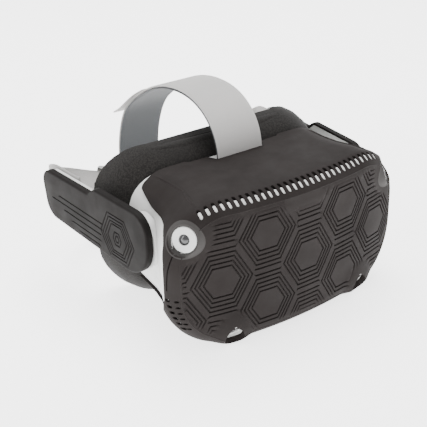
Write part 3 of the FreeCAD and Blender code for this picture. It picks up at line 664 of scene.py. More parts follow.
def protector():
    """Silicone skin over the visor, with its ridges, slots, windows and camera openings."""
    skin = visor_solid("protector_skin", 0.0, FINE, True)
    combine(skin, visor_solid("hollow", SKIN_T, COARSE, False))
    combine(skin, prism("rear", rounded_loop(SKIN_REAR), along_z, -90, 90))
    windows = [prism("window", rounded_loop(SIDE_WINDOW), along_x, side * 60, side * 120) for side in (-1, 1)]
    combine(skin, join("windows", windows))
    combine(skin, slot_prisms("slots", lambda y0, y1: (y0, y1)))
    combine(skin, join("slits", [slit_tool(side) for side in (-1, 1)]))
    combine(skin, join("low_slots", low_slot_tools(-1) + low_slot_tools(1)))
    holes = []
    for height, _, at, axis, r in camera_sides():
        wide = r + HOLE_GAP[height]
        at = (at[0], at[1], at[2] + HOLE_LIFT[height])
        holes.append(lathe("hole", [(wide, -CAMERA_REACH), (wide, CAMERA_REACH)], at, axis))
    combine(skin, join("holes", holes))
    (x, y), (a, b) = ROCKER_AT, ROCKER_HALF
    corners = rectangle(x - a, x + a, y - b, y + b, ROCKER_ROUND)
    combine(skin, prism("rocker", rounded_loop(corners), along_z, -70, -30))
    combine(skin, prism("foot", rounded_loop(rectangle(-120, 120, -40, 120)), along_z, -60, FOOT_Z))
    shade(skin, 32)
    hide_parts("rubber_protector")
    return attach(skin, "visor")


HOLE_LIFT = {"upper": 0.0, "lower": -1.1}    # from a camera's middle to the middle of the skin's hole
HOLE_GAP = {"upper": 2.4, "lower": -0.3}     # from a camera's ring to the edge of the skin's hole
COLLAR_R, COLLAR_T = 12.3, 1.5
COLLAR_CLEAR = 0.35              # least height of the collar over the shells
COLLAR_GAP, COLLAR_SINK = 0.25, 0.45     # from the ring's side to the collar, and below the ring's face
COLLAR_FLAT, COLLAR_HEM = 0.9, 0.4       # widths at the ring and at the rim before the collar slopes
COLLAR_PROUD = 0.18              # how far its rim stands over the skin
COLLAR_LIP_AT, COLLAR_LIP_W, COLLAR_LIP_H = 1.3, 0.7, 0.35   # rounded lip round the ring
COLLAR_SPOKES, COLLAR_ROWS = 96, 12


def ring_face(name, at, axis):
    """How far a camera ring's face stands out along its axis from its middle."""
    ring = frame["nodes"][name]
    points = np.array([ring.matrix_world @ v.co for v in ring.data.vertices])
    return float(((points - ORIGIN) / MM - np.array(at)).dot(np.array(Vector(axis).normalized())).max())


def shell_height(names, feet, out):
    """How far the outermost of the named CAD nodes stands out from each foot, along out."""
    points, faces = [], []
    for name in names:
        node = frame["nodes"][name]
        start = len(points)
        points += [(node.matrix_world @ v.co - Vector(ORIGIN)) / MM for v in node.data.vertices]
        faces += [tuple(start + k for k in face.vertices) for face in node.data.polygons]
    tree = BVHTree.FromPolygons(points, faces)
    heights = []
    for foot in feet:
        hit = tree.ray_cast(Vector(foot + out * CAMERA_REACH), Vector(-out), 2 * CAMERA_REACH)[3]
        heights.append(-CAMERA_REACH if hit is None else CAMERA_REACH - hit)
    return np.array(heights)


def collars():
    """Silicone collar that flares from each upper camera's ring down to the skin."""
    for level_name, hand, at, axis, r in camera_sides():
        if level_name != "upper":
            continue
        out = np.array(Vector(axis).normalized())
        turn = np.array(Vector((0, 0, 1)).rotation_difference(Vector(axis).normalized()).to_matrix())
        face = ring_face("camera_ring_upper_" + hand, at, axis) - COLLAR_SINK
        angles = np.linspace(0, 2 * math.pi, COLLAR_SPOKES, endpoint=False)
        spokes = np.stack([np.cos(angles), np.sin(angles), np.zeros(COLLAR_SPOKES)], 1) @ turn.T
        rows = []
        for radius in np.linspace(r + COLLAR_GAP, COLLAR_R, COLLAR_ROWS):
            foot = np.array(at) + spokes * radius
            skin = cast(foot - out * CAMERA_REACH, np.tile(out, (COLLAR_SPOKES, 1)), 30, 0.0)
            level = (skin - foot) @ out + COLLAR_PROUD
            share = ramp(radius, r + COLLAR_FLAT, COLLAR_R - COLLAR_HEM)
            lip = COLLAR_LIP_H * math.exp(-((radius - r - COLLAR_LIP_AT) / COLLAR_LIP_W) ** 2)
            height = face * (1 - share) + level * share + lip
            shell = shell_height(("front_shell", "rear_shell", "vent_frame"), foot, out)
            height = np.maximum(height, shell + COLLAR_CLEAR)
            rows.append(foot + out * height[:, None])
        under = [row - out * COLLAR_T for row in reversed(rows)]
        points = np.vstack(rows + under + rows[:1])
        collar = add_mesh("camera_collar_" + hand, points, strips(len(rows) * 2 + 1, COLLAR_SPOKES))
        paint(shade(collar, 40), "collar_rubber")
        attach(collar, "visor")


# ---------------------------------------------------------------- arm sleeves
PIVOT_Y = 62.0                   # the arms lean out from here back
SPLAY = 5.1                      # how much they lean, in degrees
ARM_X = 97.0                     # half the width over the sleeves at the pivots
SLEEVE_T, SLEEVE_DEEP, SLEEVE_EDGE = 1.8, 5.2, 1.5   # wall, depth, and rounding of its edge
SLEEVE_OUTLINE = [(44.4, 38.9, 14.0), (44.4, -10.6, 25.5), (174.0, -5.4, 13.0), (178.5, 32.2, 11.0),
                  (113.5, 32.4, 5.0), (105.5, 38.9, 6.0)]
EYE_Y, EYE_Z = 78.5, 11.0        # middle of the sleeve's ring pattern
SLEEVE_GROOVE = 0.6              # groove depth
SLEEVE_RINGS = [                 # radius and upward stretch of the hexagons
    (2.2, 1.25), (4.8, 1.2), (11.3, 1.05), (14.2, 1.0), (17.1, 1.0), (20.0, 1.0),
]
TAILS = [                        # z, first and last y of the grooves behind them
    (15.8, 96.0, 153.0), (11.2, 97.5, 163.0), (6.4, 99.0, 148.0), (1.4, 101.0, 138.0), (-3.2, 104.0, 128.0),
]
TAIL_RISE = 0.02
NARROWER = 1.15                  # how many times narrower than the front's these grooves are
SLEEVE_CROWN, CROWN_RUN = 0.55, 11       # swell of the face and the width over which it rises


def arm_point(y, z, depth, side):
    """Point on an arm: y and z in its plane before it leans out, and a depth inwards."""
    lean = math.radians(SPLAY)
    run = y - PIVOT_Y
    x = ARM_X + run * math.sin(lean) - depth * math.cos(lean)
    return (side * x, PIVOT_Y + run * math.cos(lean) + depth * math.sin(lean), z)


def hexagon(radius, stretch):
    """Flat-topped hexagon corners round the sleeve's ring pattern."""
    turns = [math.radians(a) for a in range(0, 360, 60)]
    return [(EYE_Y + radius * math.cos(a), EYE_Z + stretch * radius * math.sin(a)) for a in turns]


def sleeve_paths():
    """Groove paths on a sleeve, in its own plane."""
    for radius, stretch in SLEEVE_RINGS:
        ring = hexagon(radius, stretch)
        yield ring + ring[:1]
    for z, y0, y1 in TAILS:
        yield [(y0, z), (y1, z + TAIL_RISE * (y1 - y0))]


def sleeve_relief(points, edge):
    """How far the sleeve's face sinks at points that lie edge away from its border."""
    deep = np.zeros(len(points))
    for path in sleeve_paths():
        for a, b in zip(path, path[1:]):
            deep = np.maximum(deep, groove_profile(segment_distance(points, a, b) * NARROWER))
    return SLEEVE_GROOVE * deep * ramp(edge, 1.0, 3.0)


def inset_loop(loop, inset):
    """Loop moved inwards by inset; the loop runs clockwise as (y, z)."""
    before, after = np.roll(loop, 1, 0), np.roll(loop, -1, 0)
    along = unit(after - before)
    return loop + np.stack([-along[:, 1], along[:, 0]], 1) * inset * loop_turn(loop)


def loop_turn(loop):
    """1 for a loop that runs anticlockwise, -1 for a clockwise one."""
    x, y = loop.T
    return 1 if np.sum(x * np.roll(y, -1) - np.roll(x, -1) * y) > 0 else -1


def resample(loop, spacing):
    """Closed loop with its points evenly spaced."""
    closed = np.vstack([loop, loop[:1]])
    run = np.r_[0, np.cumsum(np.linalg.norm(np.diff(closed, axis=0), axis=1))]
    wanted = np.linspace(0, run[-1], round(run[-1] / spacing), endpoint=False)
    return np.stack([np.interp(wanted, run, closed[:, k]) for k in range(2)], 1)


def sleeve(hand, side):
    """Silicone sleeve over an arm, grooved on its face and open towards the head."""
    loop = resample(rounded_loop(SLEEVE_OUTLINE, 10), 1.6)
    rings = [(SLEEVE_EDGE * (1 - math.sin(t)), SLEEVE_EDGE * (1 - math.cos(t)))
             for t in np.linspace(0, math.pi / 2, 6)]
    rings += [(0.0, SLEEVE_DEEP * k / 3) for k in (1.5, 3)]
    face_loop = inset_loop(loop, SLEEVE_EDGE)
    lines = []
    for path in sleeve_paths():
        for a, b in zip(path, path[1:]):
            along = np.array(b) - np.array(a)
            across = np.array([-along[1], along[0]]) / np.linalg.norm(along)
            for offset in (-GROOVE_HALF, -GROOVE_FLAT, GROOVE_FLAT, GROOVE_HALF):
                move = across * offset / NARROWER
                lines.append((np.array(a) + move, np.array(b) + move))
    grid = np.stack(np.meshgrid(np.arange(38, 182, 3.0), np.arange(-14, 42, 3.0)), -1).reshape(-1, 2)
    grid = grid[clear_of(face_loop, grid, 1.5)]
    flat, faces = triangulate(face_loop, lines, grid, 1.6, lambda run: clear_of(face_loop, run, 1.2))
    edge = loop_distance(flat, face_loop)
    deep = sleeve_relief(flat, edge)
    crown = -SLEEVE_CROWN * ramp(edge, 0, CROWN_RUN)
    points = [arm_point(y, z, d, side) for (y, z), d in zip(flat, deep + crown)]
    faces = [tuple(f) for f in faces]
    start = len(points)
    for inset, depth in rings:
        ring = inset_loop(loop, inset) if inset > 1e-6 else loop
        points += [arm_point(y, z, depth, side) for y, z in ring]
    count = len(loop)
    faces += strips(len(rings), count, start=start)
    last = start + (len(rings) - 1) * count
    faces.append(tuple(range(last, last + count)))
    piece = add_mesh("sleeve_skin_" + hand, points, faces)
    inner = resample(inset_loop(loop, SLEEVE_T), 2.0)
    points = [arm_point(y, z, depth, side) for depth in (SLEEVE_T, SLEEVE_DEEP + 3) for y, z in inner]
    count = len(inner)
    combine(piece, add_mesh("hollow", points, strips(2, count) + caps(2, count)))
    shade(piece, 32)
    # The sleeve is painted with a darker copy of the skin's silicone: painted shade.
    paint(piece, "sleeve_rubber_painted_shade")
    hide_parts("arm_sleeve_" + hand)
    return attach(piece, "harness")


# ---------------------------------------------------------------- straps
HEM, HEM_LINE, HEM_DIP = 2.2, 0.35, 0.16         # a band's woven edge, and its line's width and depth
STRAP_T, STRAP_H = 1.8, 42.0
STRAP_DEPTH = 8.4 + 0.8 + STRAP_T / 2
STRAP_ON_ARM_Y = (140.0, 158.0, 175.0)
STRAP_BEND = [(97.2, 184.5), (92.2, 190.4), (79.5, 196.2), (56.0, 205.0), (29.0, 212.5), (0.0, 216.4)]
STRAP_TOP = np.array([(136.0, 33.5), (160.0, 33.0), (178.0, 31.5), (188.0, 26.0), (197.0, 16.0), (206.0, 3.4),
                      (213.0, -6.4), (220.0, -14.6)])
TOP_PATH = [(73.0, 44.2), (73.0, 52.0), (77.0, 66.0), (87.0, 77.5), (100.0, 84.0), (120.0, 86.6),
            (150.0, 81.5), (184.0, 64.5), (203.0, 49.0), (214.5, 29.0), (220.0, 8.0), (220.6, -9.4)]
TAIL_PATH = [(176.0, 70.4), (190.0, 62.6), (206.0, 51.4), (217.0, 43.4), (226.0, 38.0)]
TOP_HALF = 19.0


def arm_plane_x(y, depth):
    """Half the width between the arms' planes at y, moved in by depth."""
    lean = math.radians(SPLAY)
    return ARM_X + (y - PIVOT_Y) * math.tan(lean) - depth / math.cos(lean)


def band(name, middle, side_way, half, thickness, across=28):
    """Woven band: a rounded flat section carried along a path.

    middle holds the path's points, side_way the unit vectors to the band's edge, and half the half width at
    each point. A shallow line sets off its woven edges.
    """
    middle, side_way = np.asarray(middle, float), np.asarray(side_way, float)
    half = np.broadcast_to(half, len(middle))
    out = unit(np.cross(tangents(middle), side_way))
    run = np.r_[0, np.cumsum(np.linalg.norm(np.diff(middle, axis=0), axis=1))]
    section = []
    for face in (1, -1):
        for k in range(across + 1):
            section.append((face * (1 - 2 * k / across), face))
    points, uv = [], []
    for i, at in enumerate(middle):
        for v, face in section:
            reach = half[i]
            from_edge = reach * (1 - abs(v))
            tall = thickness / 2 * math.sqrt(max(0.0, 1 - max(0.0, 1 - from_edge / (thickness * 0.5)) ** 2))
            dip = HEM_DIP * math.exp(-((from_edge - HEM) / HEM_LINE) ** 2)
            lift = face * max(0.0, tall - dip)
            points.append(at + side_way[i] * v * reach + out[i] * lift)
            uv.append((v * reach * MM, run[i] * MM))
    count = len(section)
    return add_mesh(name, points, strips(len(middle), count) + caps(len(middle), count), uv)


def rear_band():
    """Woven band round the back of the head, from arm to arm."""
    side = [(arm_plane_x(y, STRAP_DEPTH), y) for y in STRAP_ON_ARM_Y] + STRAP_BEND
    path = spline(side + [(-x, y) for x, y in reversed(side[:-1])], 150)
    top = spline(STRAP_TOP, 200)
    upper = np.interp(path[:, 1], top[:, 0], top[:, 1])
    middle = np.stack([path[:, 0], path[:, 1], upper - STRAP_H / 2], 1)
    up = np.tile([0.0, 0.0, 1.0], (len(middle), 1))
    piece = band("rear_band", middle, up, STRAP_H / 2, STRAP_T, across=36)
    shade(piece, 50)
    paint(piece, "webbing")
    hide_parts("rear_strap")
    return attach(piece, "harness")


def crown_bands():
    """Band over the head: an outer layer folded over a darker inner one, and its loose end."""
    whole = spline(TOP_PATH, 160)
    layers = [("crown_band_outer", offset_path(whole, 0.9), 1.6, TOP_HALF, "webbing"),
              ("crown_band_inner", offset_path(whole, -0.9), 1.6, TOP_HALF - 0.2, "webbing_inside"),
              ("crown_band_tail", offset_path(spline(TAIL_PATH, 50), 1.3), 1.4, TOP_HALF - 0.5, "webbing")]
    pieces = []
    for name, path, thickness, half, finish in layers:
        middle = np.stack([np.zeros(len(path)), path[:, 0], path[:, 1]], 1)
        across = np.tile([1.0, 0.0, 0.0], (len(path), 1))
        piece = band(name, middle, across, half, thickness)
        shade(piece, 50)
        paint(piece, finish)
        pieces.append(piece)
    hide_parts("top_strap")
    for piece in pieces:
        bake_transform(piece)
    return pieces


# ---------------------------------------------------------------- face pad
PAD_VOXEL, PAD_SWELL = 2.1 * MM, 1.15 * MM
NOSE_HALF = 24.0                 # half the width of the opening under the nose
PAD_ROUND_TOP, PAD_ROUND_LOW = 36.0, 34.0
PIPING_R, PIPING_SIDES = 0.85, 10
PIPING_Y, PIPING_HALF, PIPING_TOP, PIPING_LOW = 99.5, 90.0, 58.0, -53.2
PIPING_BOW = 330                 # the cord lies x squared over this behind PIPING_Y
SKIRT_T = 1.0
SKIRT = [                        # y, half width, top, bottom and bow of the skirt's rows
    (80.5, 84.4, 47.4, -40.4, 0.0),
    (85.0, 87.4, 53.0, -46.6, 0.0006),
    (90.0, 89.8, 57.4, -51.8, 0.0014),
    (95.0, 91.0, 59.2, -53.2, 0.0022),
    (100.0, 91.0, 59.2, -53.2, 0.003),
]


def face_pad():
    """Foam pad under a knitted cover: softened and swelled from its CAD solid."""
    source = frame["nodes"]["face_cushion"]
    piece = link(bpy.data.objects.new("face_pad", source.data.copy()))
    piece.matrix_world = source.matrix_world
    piece.data.materials.clear()
    remesh = piece.modifiers.new("remesh", "REMESH")
    remesh.mode = "VOXEL"
    remesh.voxel_size = PAD_VOXEL
    bake_modifiers(piece)
    smooth = piece.modifiers.new("smooth", "SMOOTH")
    smooth.factor, smooth.iterations = 0.5, 7
    swell = piece.modifiers.new("swell", "DISPLACE")
    swell.strength, swell.mid_level = PAD_SWELL, 0
    bake_modifiers(piece)
    tidy_mesh(piece.data, 1e-7)
    shade(piece, 75)
    paint(piece, "foam")
    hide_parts("face_cushion")
    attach(piece, "visor")
    return piece


def pad_loop(half, top, low):
    """Outline round the pad, from one side of the nose opening to the other."""
    corners = [(NOSE_HALF, low, 0), (half, low, PAD_ROUND_LOW), (half, top, PAD_ROUND_TOP),
               (-half, top, PAD_ROUND_TOP), (-half, low, PAD_ROUND_LOW), (-NOSE_HALF, low, 0)]
    return rounded_loop(corners, 14)


def pad_skirt():
    """Thin knitted skirt that runs from the visor's rim back to the pad, open at the nose."""
    loops = []
    for y, half, top, low, bow in SKIRT:
        loop = pad_loop(half, top, low)
        loops.append(np.stack([loop[:, 0], y + bow * loop[:, 0] ** 2, loop[:, 1]], 1))
    middle = np.mean(loops[0], axis=0)
    inner = [loop - SKIRT_T * unit(loop - middle) for loop in loops]
    section = loops + inner[::-1]
    points = [ring[k] for k in range(len(loops[0])) for ring in section]
    rows, count = len(loops[0]), len(section)
    piece = add_mesh("face_pad_skirt", points, strips(rows, count) + caps(rows, count))
    paint(shade(piece, 60), "foam")
    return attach(piece, "visor")


def pad_piping():
    """Sewn cord round the pad's outer edge, open at the nose."""
    loop = pad_loop(PIPING_HALF, PIPING_TOP, PIPING_LOW)
    path = spline(np.stack([loop[:, 0], PIPING_Y + loop[:, 0] ** 2 / PIPING_BOW, loop[:, 1]], 1), 260)
    along = tangents(path)
    out = unit(np.cross(along, np.tile([0.0, 1.0, 0.0], (len(path), 1))))
    turns = np.linspace(0, 2 * math.pi, PIPING_SIDES, False)
    points = []
    for at, o, b in zip(path, out, np.cross(out, along)):
        points += [at + PIPING_R * (math.cos(a) * o + math.sin(a) * b) for a in turns]
    faces = strips(len(path), PIPING_SIDES) + caps(len(path), PIPING_SIDES)
    piece = add_mesh("face_pad_piping", points, faces)
    paint(shade(piece, 60), "piping")
    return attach(piece, "visor")


# ---------------------------------------------------------------- materials
finishes = {}


def linear(r, g, b):
    """Screen colour, 0 to 255, as linear light."""
    return tuple(((v / 255 + 0.055) / 1.055) ** 2.4 for v in (r, g, b)) + (1.0,)


class Nodes:
    """Short hand for a material's node tree."""

    def __init__(self, name):
        self.material = bpy.data.materials.new(name)
        self.material.use_nodes = True
        self.tree = self.material.node_tree
        self.tree.nodes.clear()
        self.output = self.tree.nodes.new("ShaderNodeOutputMaterial")
        self.shader = self.add("ShaderNodeBsdfPrincipled")
        self.tree.links.new(self.shader.outputs[0], self.output.inputs["Surface"])
        self.place = self.add("ShaderNodeTexCoord").outputs["Object"]

    def add(self, kind, **inputs):
        node = self.tree.nodes.new(kind)
        for key, value in inputs.items():
            self.set(node, key.replace("_", " "), value)
        return node

    def set(self, node, key, value):
        socket = node.inputs[int(key)] if str(key).isdigit() else node.inputs[key]
        if isinstance(value, bpy.types.NodeSocket):
            self.tree.links.new(value, socket)
        else:
            socket.default_value = value

    def noise(self, scale, detail=3.0, rough=0.55, vector=None):
        node = self.add("ShaderNodeTexNoise", Scale=scale, Detail=detail, Roughness=rough)
        self.tree.links.new(vector or self.place, node.inputs["Vector"])
        return node.outputs["Fac"]

    def voronoi(self, scale, feature="F1", vector=None):
        node = self.add("ShaderNodeTexVoronoi", Scale=scale)
        node.feature = feature
        self.tree.links.new(vector or self.place, node.inputs["Vector"])
        return node.outputs["Distance"]

    def math(self, operation, a, b=0.0):
        node = self.tree.nodes.new("ShaderNodeMath")
        node.operation = operation
        self.set(node, 0, a)
        self.set(node, 1, b)
        return node.outputs[0]

    def fit(self, value, low, high, out_low, out_high):
        node = self.add("ShaderNodeMapRange")
        for key, v in zip(("Value", "From Min", "From Max", "To Min", "To Max"),
                          (value, low, high, out_low, out_high)):
            self.set(node, key, v)
        return node.outputs["Result"]

    def mix(self, share, a, b):
        node = self.tree.nodes.new("ShaderNodeMix")
        node.data_type = "RGBA"
        self.set(node, 0, share)
        self.set(node, 6, a)
        self.set(node, 7, b)
        return node.outputs[2]

    def bump(self, height, distance, strength=1.0, under=None):
        node = self.add("ShaderNodeBump", Height=height, Distance=distance, Strength=strength)
        if under is not None:
            self.tree.links.new(under, node.inputs["Normal"])
        return node.outputs["Normal"]

    def finish(self, **values):
        for key, value in values.items():
            self.set(self.shader, key.replace("_", " "), value)
        return self.material


def rubber(name, dark, light):
    """Matte moulded silicone: fine grain, soft blotches and a trace of dust."""
    n = Nodes(name)
    blotch = n.noise(28, 4, 0.6)
    colour = n.mix(n.fit(blotch, 0.32, 0.7, 0, 1), linear(*dark), linear(*light))
    dust = n.fit(n.noise(900, 2, 0.5), 0.66, 0.8, 0, 0.12)
    colour = n.mix(dust, colour, linear(*(v + 28 for v in light)))
    grain = n.noise(2600, 3, 0.6)
    normal = n.bump(grain, 0.00003, 0.55, n.bump(blotch, 0.0004, 0.12))
    rough = n.fit(n.noise(60, 3, 0.5), 0.3, 0.7, 0.58, 0.72)
    return n.finish(Base_Color=colour, Roughness=rough, Normal=normal, Specular_IOR_Level=0.1)


def moulded(name, dark, light, rough=(0.34, 0.46), grain_scale=3200, grain=0.00002, specular=0.5):
    """Moulded plastic with a fine spark-eroded texture and handling haze."""
    n = Nodes(name)
    haze = n.noise(18, 5, 0.6)
    colour = n.mix(n.fit(haze, 0.3, 0.72, 0, 1), linear(*dark), linear(*light))
    edge = n.add("ShaderNodeBevel", Radius=0.0004)
    texture = n.voronoi(grain_scale)
    normal = n.bump(texture, grain, 0.45, edge.outputs["Normal"])
    gloss = n.fit(n.noise(120, 3, 0.5), 0.3, 0.7, *rough)
    return n.finish(Base_Color=colour, Roughness=gloss, Normal=normal, Specular_IOR_Level=specular)


def webbing(name, dark, light, thread=0.00085):
    """Plain weave that follows the band: raised warp and weft threads, with fuzz."""
    n = Nodes(name)
    uv = n.add("ShaderNodeUVMap")
    uv.uv_map = "Weave"
    split = n.tree.nodes.new("ShaderNodeSeparateXYZ")
    n.tree.links.new(uv.outputs[0], split.inputs[0])
    turns = 2 * math.pi / thread
    warp = n.math("SINE", n.math("MULTIPLY", split.outputs[0], turns))
    weft = n.math("SINE", n.math("MULTIPLY", split.outputs[1], turns * 0.8))
    checks = n.math("MULTIPLY", warp, weft)
    height = n.fit(checks, -1, 1, 0, 1)
    fuzz = n.noise(1800, 4, 0.7)
    stain = n.noise(30, 4, 0.6)
    # The field that raises the threads also paints their dips darker and their crests lighter: painted shade
    # and highlight in the weave.
    colour = n.mix(n.fit(checks, -0.7, 0.8, 0, 1), linear(*dark), linear(*light))
    colour = n.mix(n.fit(stain, 0.35, 0.75, 0, 0.3), colour, linear(*dark))
    normal = n.bump(height, 0.00012, 0.8, n.bump(fuzz, 0.00008, 0.5))
    return n.finish(Base_Color=colour, Roughness=n.fit(fuzz, 0.3, 0.7, 0.78, 0.95), Normal=normal,
                    Specular_IOR_Level=0.2, Sheen_Weight=0.25, Sheen_Roughness=0.5)


def foam(name, dark, light):
    """Close-knit cloth over foam: small stitches in rows, soft and dull."""
    n = Nodes(name)
    cells = n.voronoi(900)
    weave = n.noise(2200, 3, 0.6)
    soft = n.noise(35, 3, 0.5)
    colour = n.mix(n.fit(cells, 0.1, 0.7, 0, 1), linear(*light), linear(*dark))
    colour = n.mix(n.fit(soft, 0.3, 0.75, 0, 0.5), colour, linear(*dark))
    normal = n.bump(cells, 0.00018, 0.6, n.bump(weave, 0.00006, 0.5))
    return n.finish(Base_Color=colour, Roughness=n.fit(weave, 0.3, 0.7, 0.82, 0.98), Normal=normal,
                    Specular_IOR_Level=0.15, Sheen_Weight=0.08)


def metal(name, tone, rough=(0.3, 0.45)):
    """Blasted metal with a fine grain and soft streaks."""
    n = Nodes(name)
    grain = n.noise(2400, 4, 0.65)
    streak = n.noise(90, 5, 0.6)
    colour = n.mix(n.fit(streak, 0.3, 0.7, 0, 1), linear(*(v * 0.86 for v in tone)), linear(*tone))
    edge = n.add("ShaderNodeBevel", Radius=0.0002)
    normal = n.bump(grain, 0.00002, 0.5, edge.outputs["Normal"])
    return n.finish(Base_Color=colour, Metallic=1.0, Roughness=n.fit(grain, 0.3, 0.7, *rough), Normal=normal)


def dark_glass(name, tone, coat=0.6):
    """Polished dark cover glass with a faint tint and smears."""
    n = Nodes(name)
    smear = n.noise(140, 4, 0.6)
    colour = n.mix(n.fit(smear, 0.3, 0.7, 0, 1), linear(*(v * 0.6 for v in tone)), linear(*tone))
    return n.finish(Base_Color=colour, Roughness=n.fit(smear, 0.4, 0.75, 0.04, 0.14), Coat_Weight=coat,
                    Coat_Roughness=0.03, Specular_IOR_Level=0.7)


def clear_glass(name):
    """Moulded clear lens with a faint tint and smears."""
    n = Nodes(name)
    smear = n.noise(120, 4, 0.6)
    tint = n.mix(n.fit(smear, 0.3, 0.7, 0, 1), linear(206, 214, 218), linear(226, 232, 236))
    return n.finish(Base_Color=tint, Roughness=n.fit(smear, 0.4, 0.8, 0.02, 0.08), Transmission_Weight=0.9,
                    IOR=1.49)


def board(name):
    """Circuit board lacquer over copper runs."""
    n = Nodes(name)
    runs = n.fit(n.voronoi(420, "DISTANCE_TO_EDGE"), 0.02, 0.09, 1, 0)
    cloud = n.noise(60, 3, 0.5)
    green = n.mix(n.fit(cloud, 0.3, 0.7, 0, 1), linear(14, 62, 38), linear(22, 84, 50))
    colour = n.mix(n.math("MULTIPLY", runs, 0.5), green, linear(70, 128, 74))
    return n.finish(Base_Color=colour, Roughness=n.fit(cloud, 0.3, 0.7, 0.28, 0.42),
                    Normal=n.bump(runs, 0.00003, 0.6))


FINISHES = {
    "rubber": lambda: rubber("silicone", (31, 27, 26), (38, 34, 33)),
    # The sleeves get a darker copy of the skin's silicone: painted shade that offsets the stronger light that
    # falls on them.
    "sleeve_rubber_painted_shade": lambda: rubber("silicone_sleeve_painted_shade", (20, 18, 17), (26, 23, 22)),
    "collar_rubber": lambda: rubber("silicone_collar", (56, 54, 53), (66, 64, 63)),
    "webbing": lambda: webbing("webbing_light", (160, 158, 156), (198, 196, 194)),
    "webbing_inside": lambda: webbing("webbing_dark", (66, 68, 70), (90, 92, 94)),
    "foam": lambda: foam("knit_over_foam", (24, 22, 21), (44, 42, 40)),
    "piping": lambda: foam("sewn_cord", (24, 22, 21), (48, 45, 43)),
    "white_plastic": lambda: moulded("white_shell", (205, 205, 203), (218, 218, 216)),
    "black_plastic": lambda: moulded("black_shell", (13, 12, 12), (20, 19, 19), (0.5, 0.62), specular=0.3),
    "camera_glass": lambda: dark_glass("camera_glass_finish", (30, 30, 34)),
    "metal": lambda: metal("blasted_metal", (176, 178, 182)),
    "circuit": lambda: board("circuit_lacquer"),
    "battery_wrap": lambda: moulded("battery_foil", (40, 42, 50), (60, 62, 72), (0.25, 0.4), 900, 0.0001),
    "screen_glass": lambda: dark_glass("screen_glass_finish", (16, 16, 22), 1.0),
    "gear_plastic": lambda: moulded("acetal", (206, 202, 192), (222, 218, 208), (0.3, 0.4)),
    "status_lens": lambda: moulded("light_pipe", (120, 122, 120), (150, 152, 150), (0.1, 0.2), 2000, 0.00001),
    "lens_glass": lambda: clear_glass("lens_glass_finish"),
    "grey_plastic": lambda: moulded("grey_shell", (150, 150, 148), (172, 172, 170)),
}
FOR_SLOT = {"dark_rubber": "rubber", "black_foam": "foam", "grey_webbing": "webbing"}


def finish_named(name):
    """A finish's material, made when it is first asked for."""
    if name not in finishes:
        finishes[name] = FINISHES[name]()
    return finishes[name]


def paint(piece, name):
    piece.data.materials.clear()
    piece.data.materials.append(finish_named(name))
    return piece


def paint_cad_nodes():
    """Give each CAD node the finish of its material slot."""
    for part in frame["record"]["subparts"]:
        node = frame["nodes"].get(part["node"])
        slot = part["material_slot"]
        for place in node.material_slots:
            place.link = "OBJECT"
            place.material = finish_named(FOR_SLOT.get(slot, slot))


# ---------------------------------------------------------------- studio
CAMERA_AT = (-330.07, -388.72, 296.58)
CAMERA_AZ, CAMERA_EL, CAMERA_ROLL = -33.56, 27.43, -2.01     # degrees
CAMERA_LENS, SENSOR = 73.72, 36.0
WORLD, WORLD_LOW = 1.1, 2.6      # strength of the studio light overhead and at the horizon
HORIZON = (0.02, 0.26)           # heights, as sines, between which one turns into the other
FLOOR_GLOW = 2.6                 # light that the paper gives off, which keeps its shadows pale
FLOOR_HALF = 20.0                # metres


def camera():
    """Camera at the studio picture's angle."""
    az, el, roll = (math.radians(v) for v in (CAMERA_AZ, CAMERA_EL, CAMERA_ROLL))
    back = Vector((math.sin(az) * math.cos(el), -math.cos(az) * math.cos(el), math.sin(el)))
    right = Vector((math.cos(az), math.sin(az), 0))
    up = back.cross(right)
    right, up = right * math.cos(roll) + up * math.sin(roll), up * math.cos(roll) - right * math.sin(roll)
    data = bpy.data.cameras.new("camera")
    data.lens, data.sensor_width = CAMERA_LENS, SENSOR
    data.clip_start, data.clip_end = 0.01, 20
    view = link(bpy.data.objects.new("camera", data))
    turn = Matrix((right, up, back)).transposed().to_4x4()
    view.matrix_world = Matrix.Translation(spot(*CAMERA_AT)) @ turn
    bpy.context.scene.camera = view


def area_light(name, at, target, size, power, colour=(1, 1, 1)):
    data = bpy.data.lights.new(name, "AREA")
    data.shape = "RECTANGLE"
    data.size, data.size_y = size
    data.energy = power
    data.color = colour
    lamp = link(bpy.data.objects.new(name, data))
    lamp.location = at
    lamp.rotation_euler = (Vector(target) - Vector(at)).to_track_quat("-Z", "Y").to_euler()


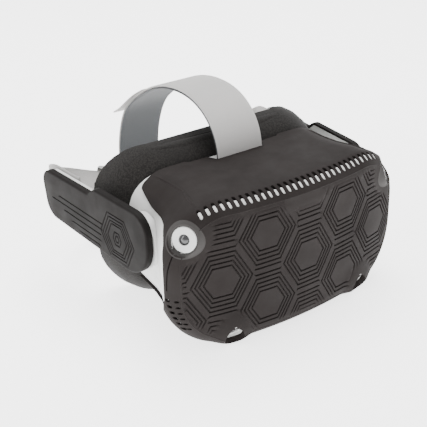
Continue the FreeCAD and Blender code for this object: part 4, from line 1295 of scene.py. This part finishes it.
def studio():
    """Pale paper floor, even light that turns paler towards the horizon, and two soft lamps."""
    mesh = bpy.data.meshes.new("floor")
    corners = [(x, y, 0) for x, y, _ in rectangle(-FLOOR_HALF, FLOOR_HALF, -FLOOR_HALF, FLOOR_HALF)]
    mesh.from_pydata(corners, [], [(0, 1, 2, 3)])
    floor = link(bpy.data.objects.new("floor", mesh))
    n = Nodes("paper")
    fibre = n.noise(300, 4, 0.6)
    n.finish(Base_Color=n.mix(fibre, linear(250, 250, 250), linear(254, 254, 254)), Roughness=0.9,
             Specular_IOR_Level=0.1, Emission_Color=(1, 1, 1, 1), Emission_Strength=FLOOR_GLOW)
    mesh.materials.append(n.material)
    world = bpy.data.worlds.new("studio")
    world.use_nodes = True
    tree = world.node_tree
    light = tree.nodes["Background"]
    split = tree.nodes.new("ShaderNodeSeparateXYZ")
    height = tree.nodes.new("ShaderNodeMapRange")
    height.inputs["From Min"].default_value, height.inputs["From Max"].default_value = HORIZON
    height.inputs["To Min"].default_value, height.inputs["To Max"].default_value = WORLD_LOW, WORLD
    tree.links.new(tree.nodes.new("ShaderNodeTexCoord").outputs["Generated"], split.inputs[0])
    tree.links.new(split.outputs["Z"], height.inputs["Value"])
    tree.links.new(height.outputs["Result"], light.inputs["Strength"])
    light.inputs["Color"].default_value = (1, 1, 1, 1)
    bpy.context.scene.world = world
    middle = (0, 0, 0.07)
    area_light("top", (0.25, 0.35, 1.4), middle, (1.0, 1.0), 26)
    area_light("rim", (-1.1, 0.2, 0.75), middle, (0.35, 0.9), 4)


# ---------------------------------------------------------------- scene
paint(protector(), "rubber")
collars()
slot_fill("vent_teeth", lambda y0, y1: (y0 + SLOT_PLAY, y0 + TOOTH_END), TOOTH_DEPTH, "white_plastic")
# The black pieces in the slots' rear ends are painted shade: they stand for the dark gap of the vent behind
# the skin.
slot_fill("vent_painted_shade", lambda y0, y1: (y0 + TOOTH_END, y1), PAINTED_SHADE_DEPTH, "black_plastic")
for hand, side in (("left", 1), ("right", -1)):
    sleeve(hand, side)
rear_band()
crown_bands()
face_pad()
pad_skirt()
pad_piping()
paint_cad_nodes()
camera()
studio()
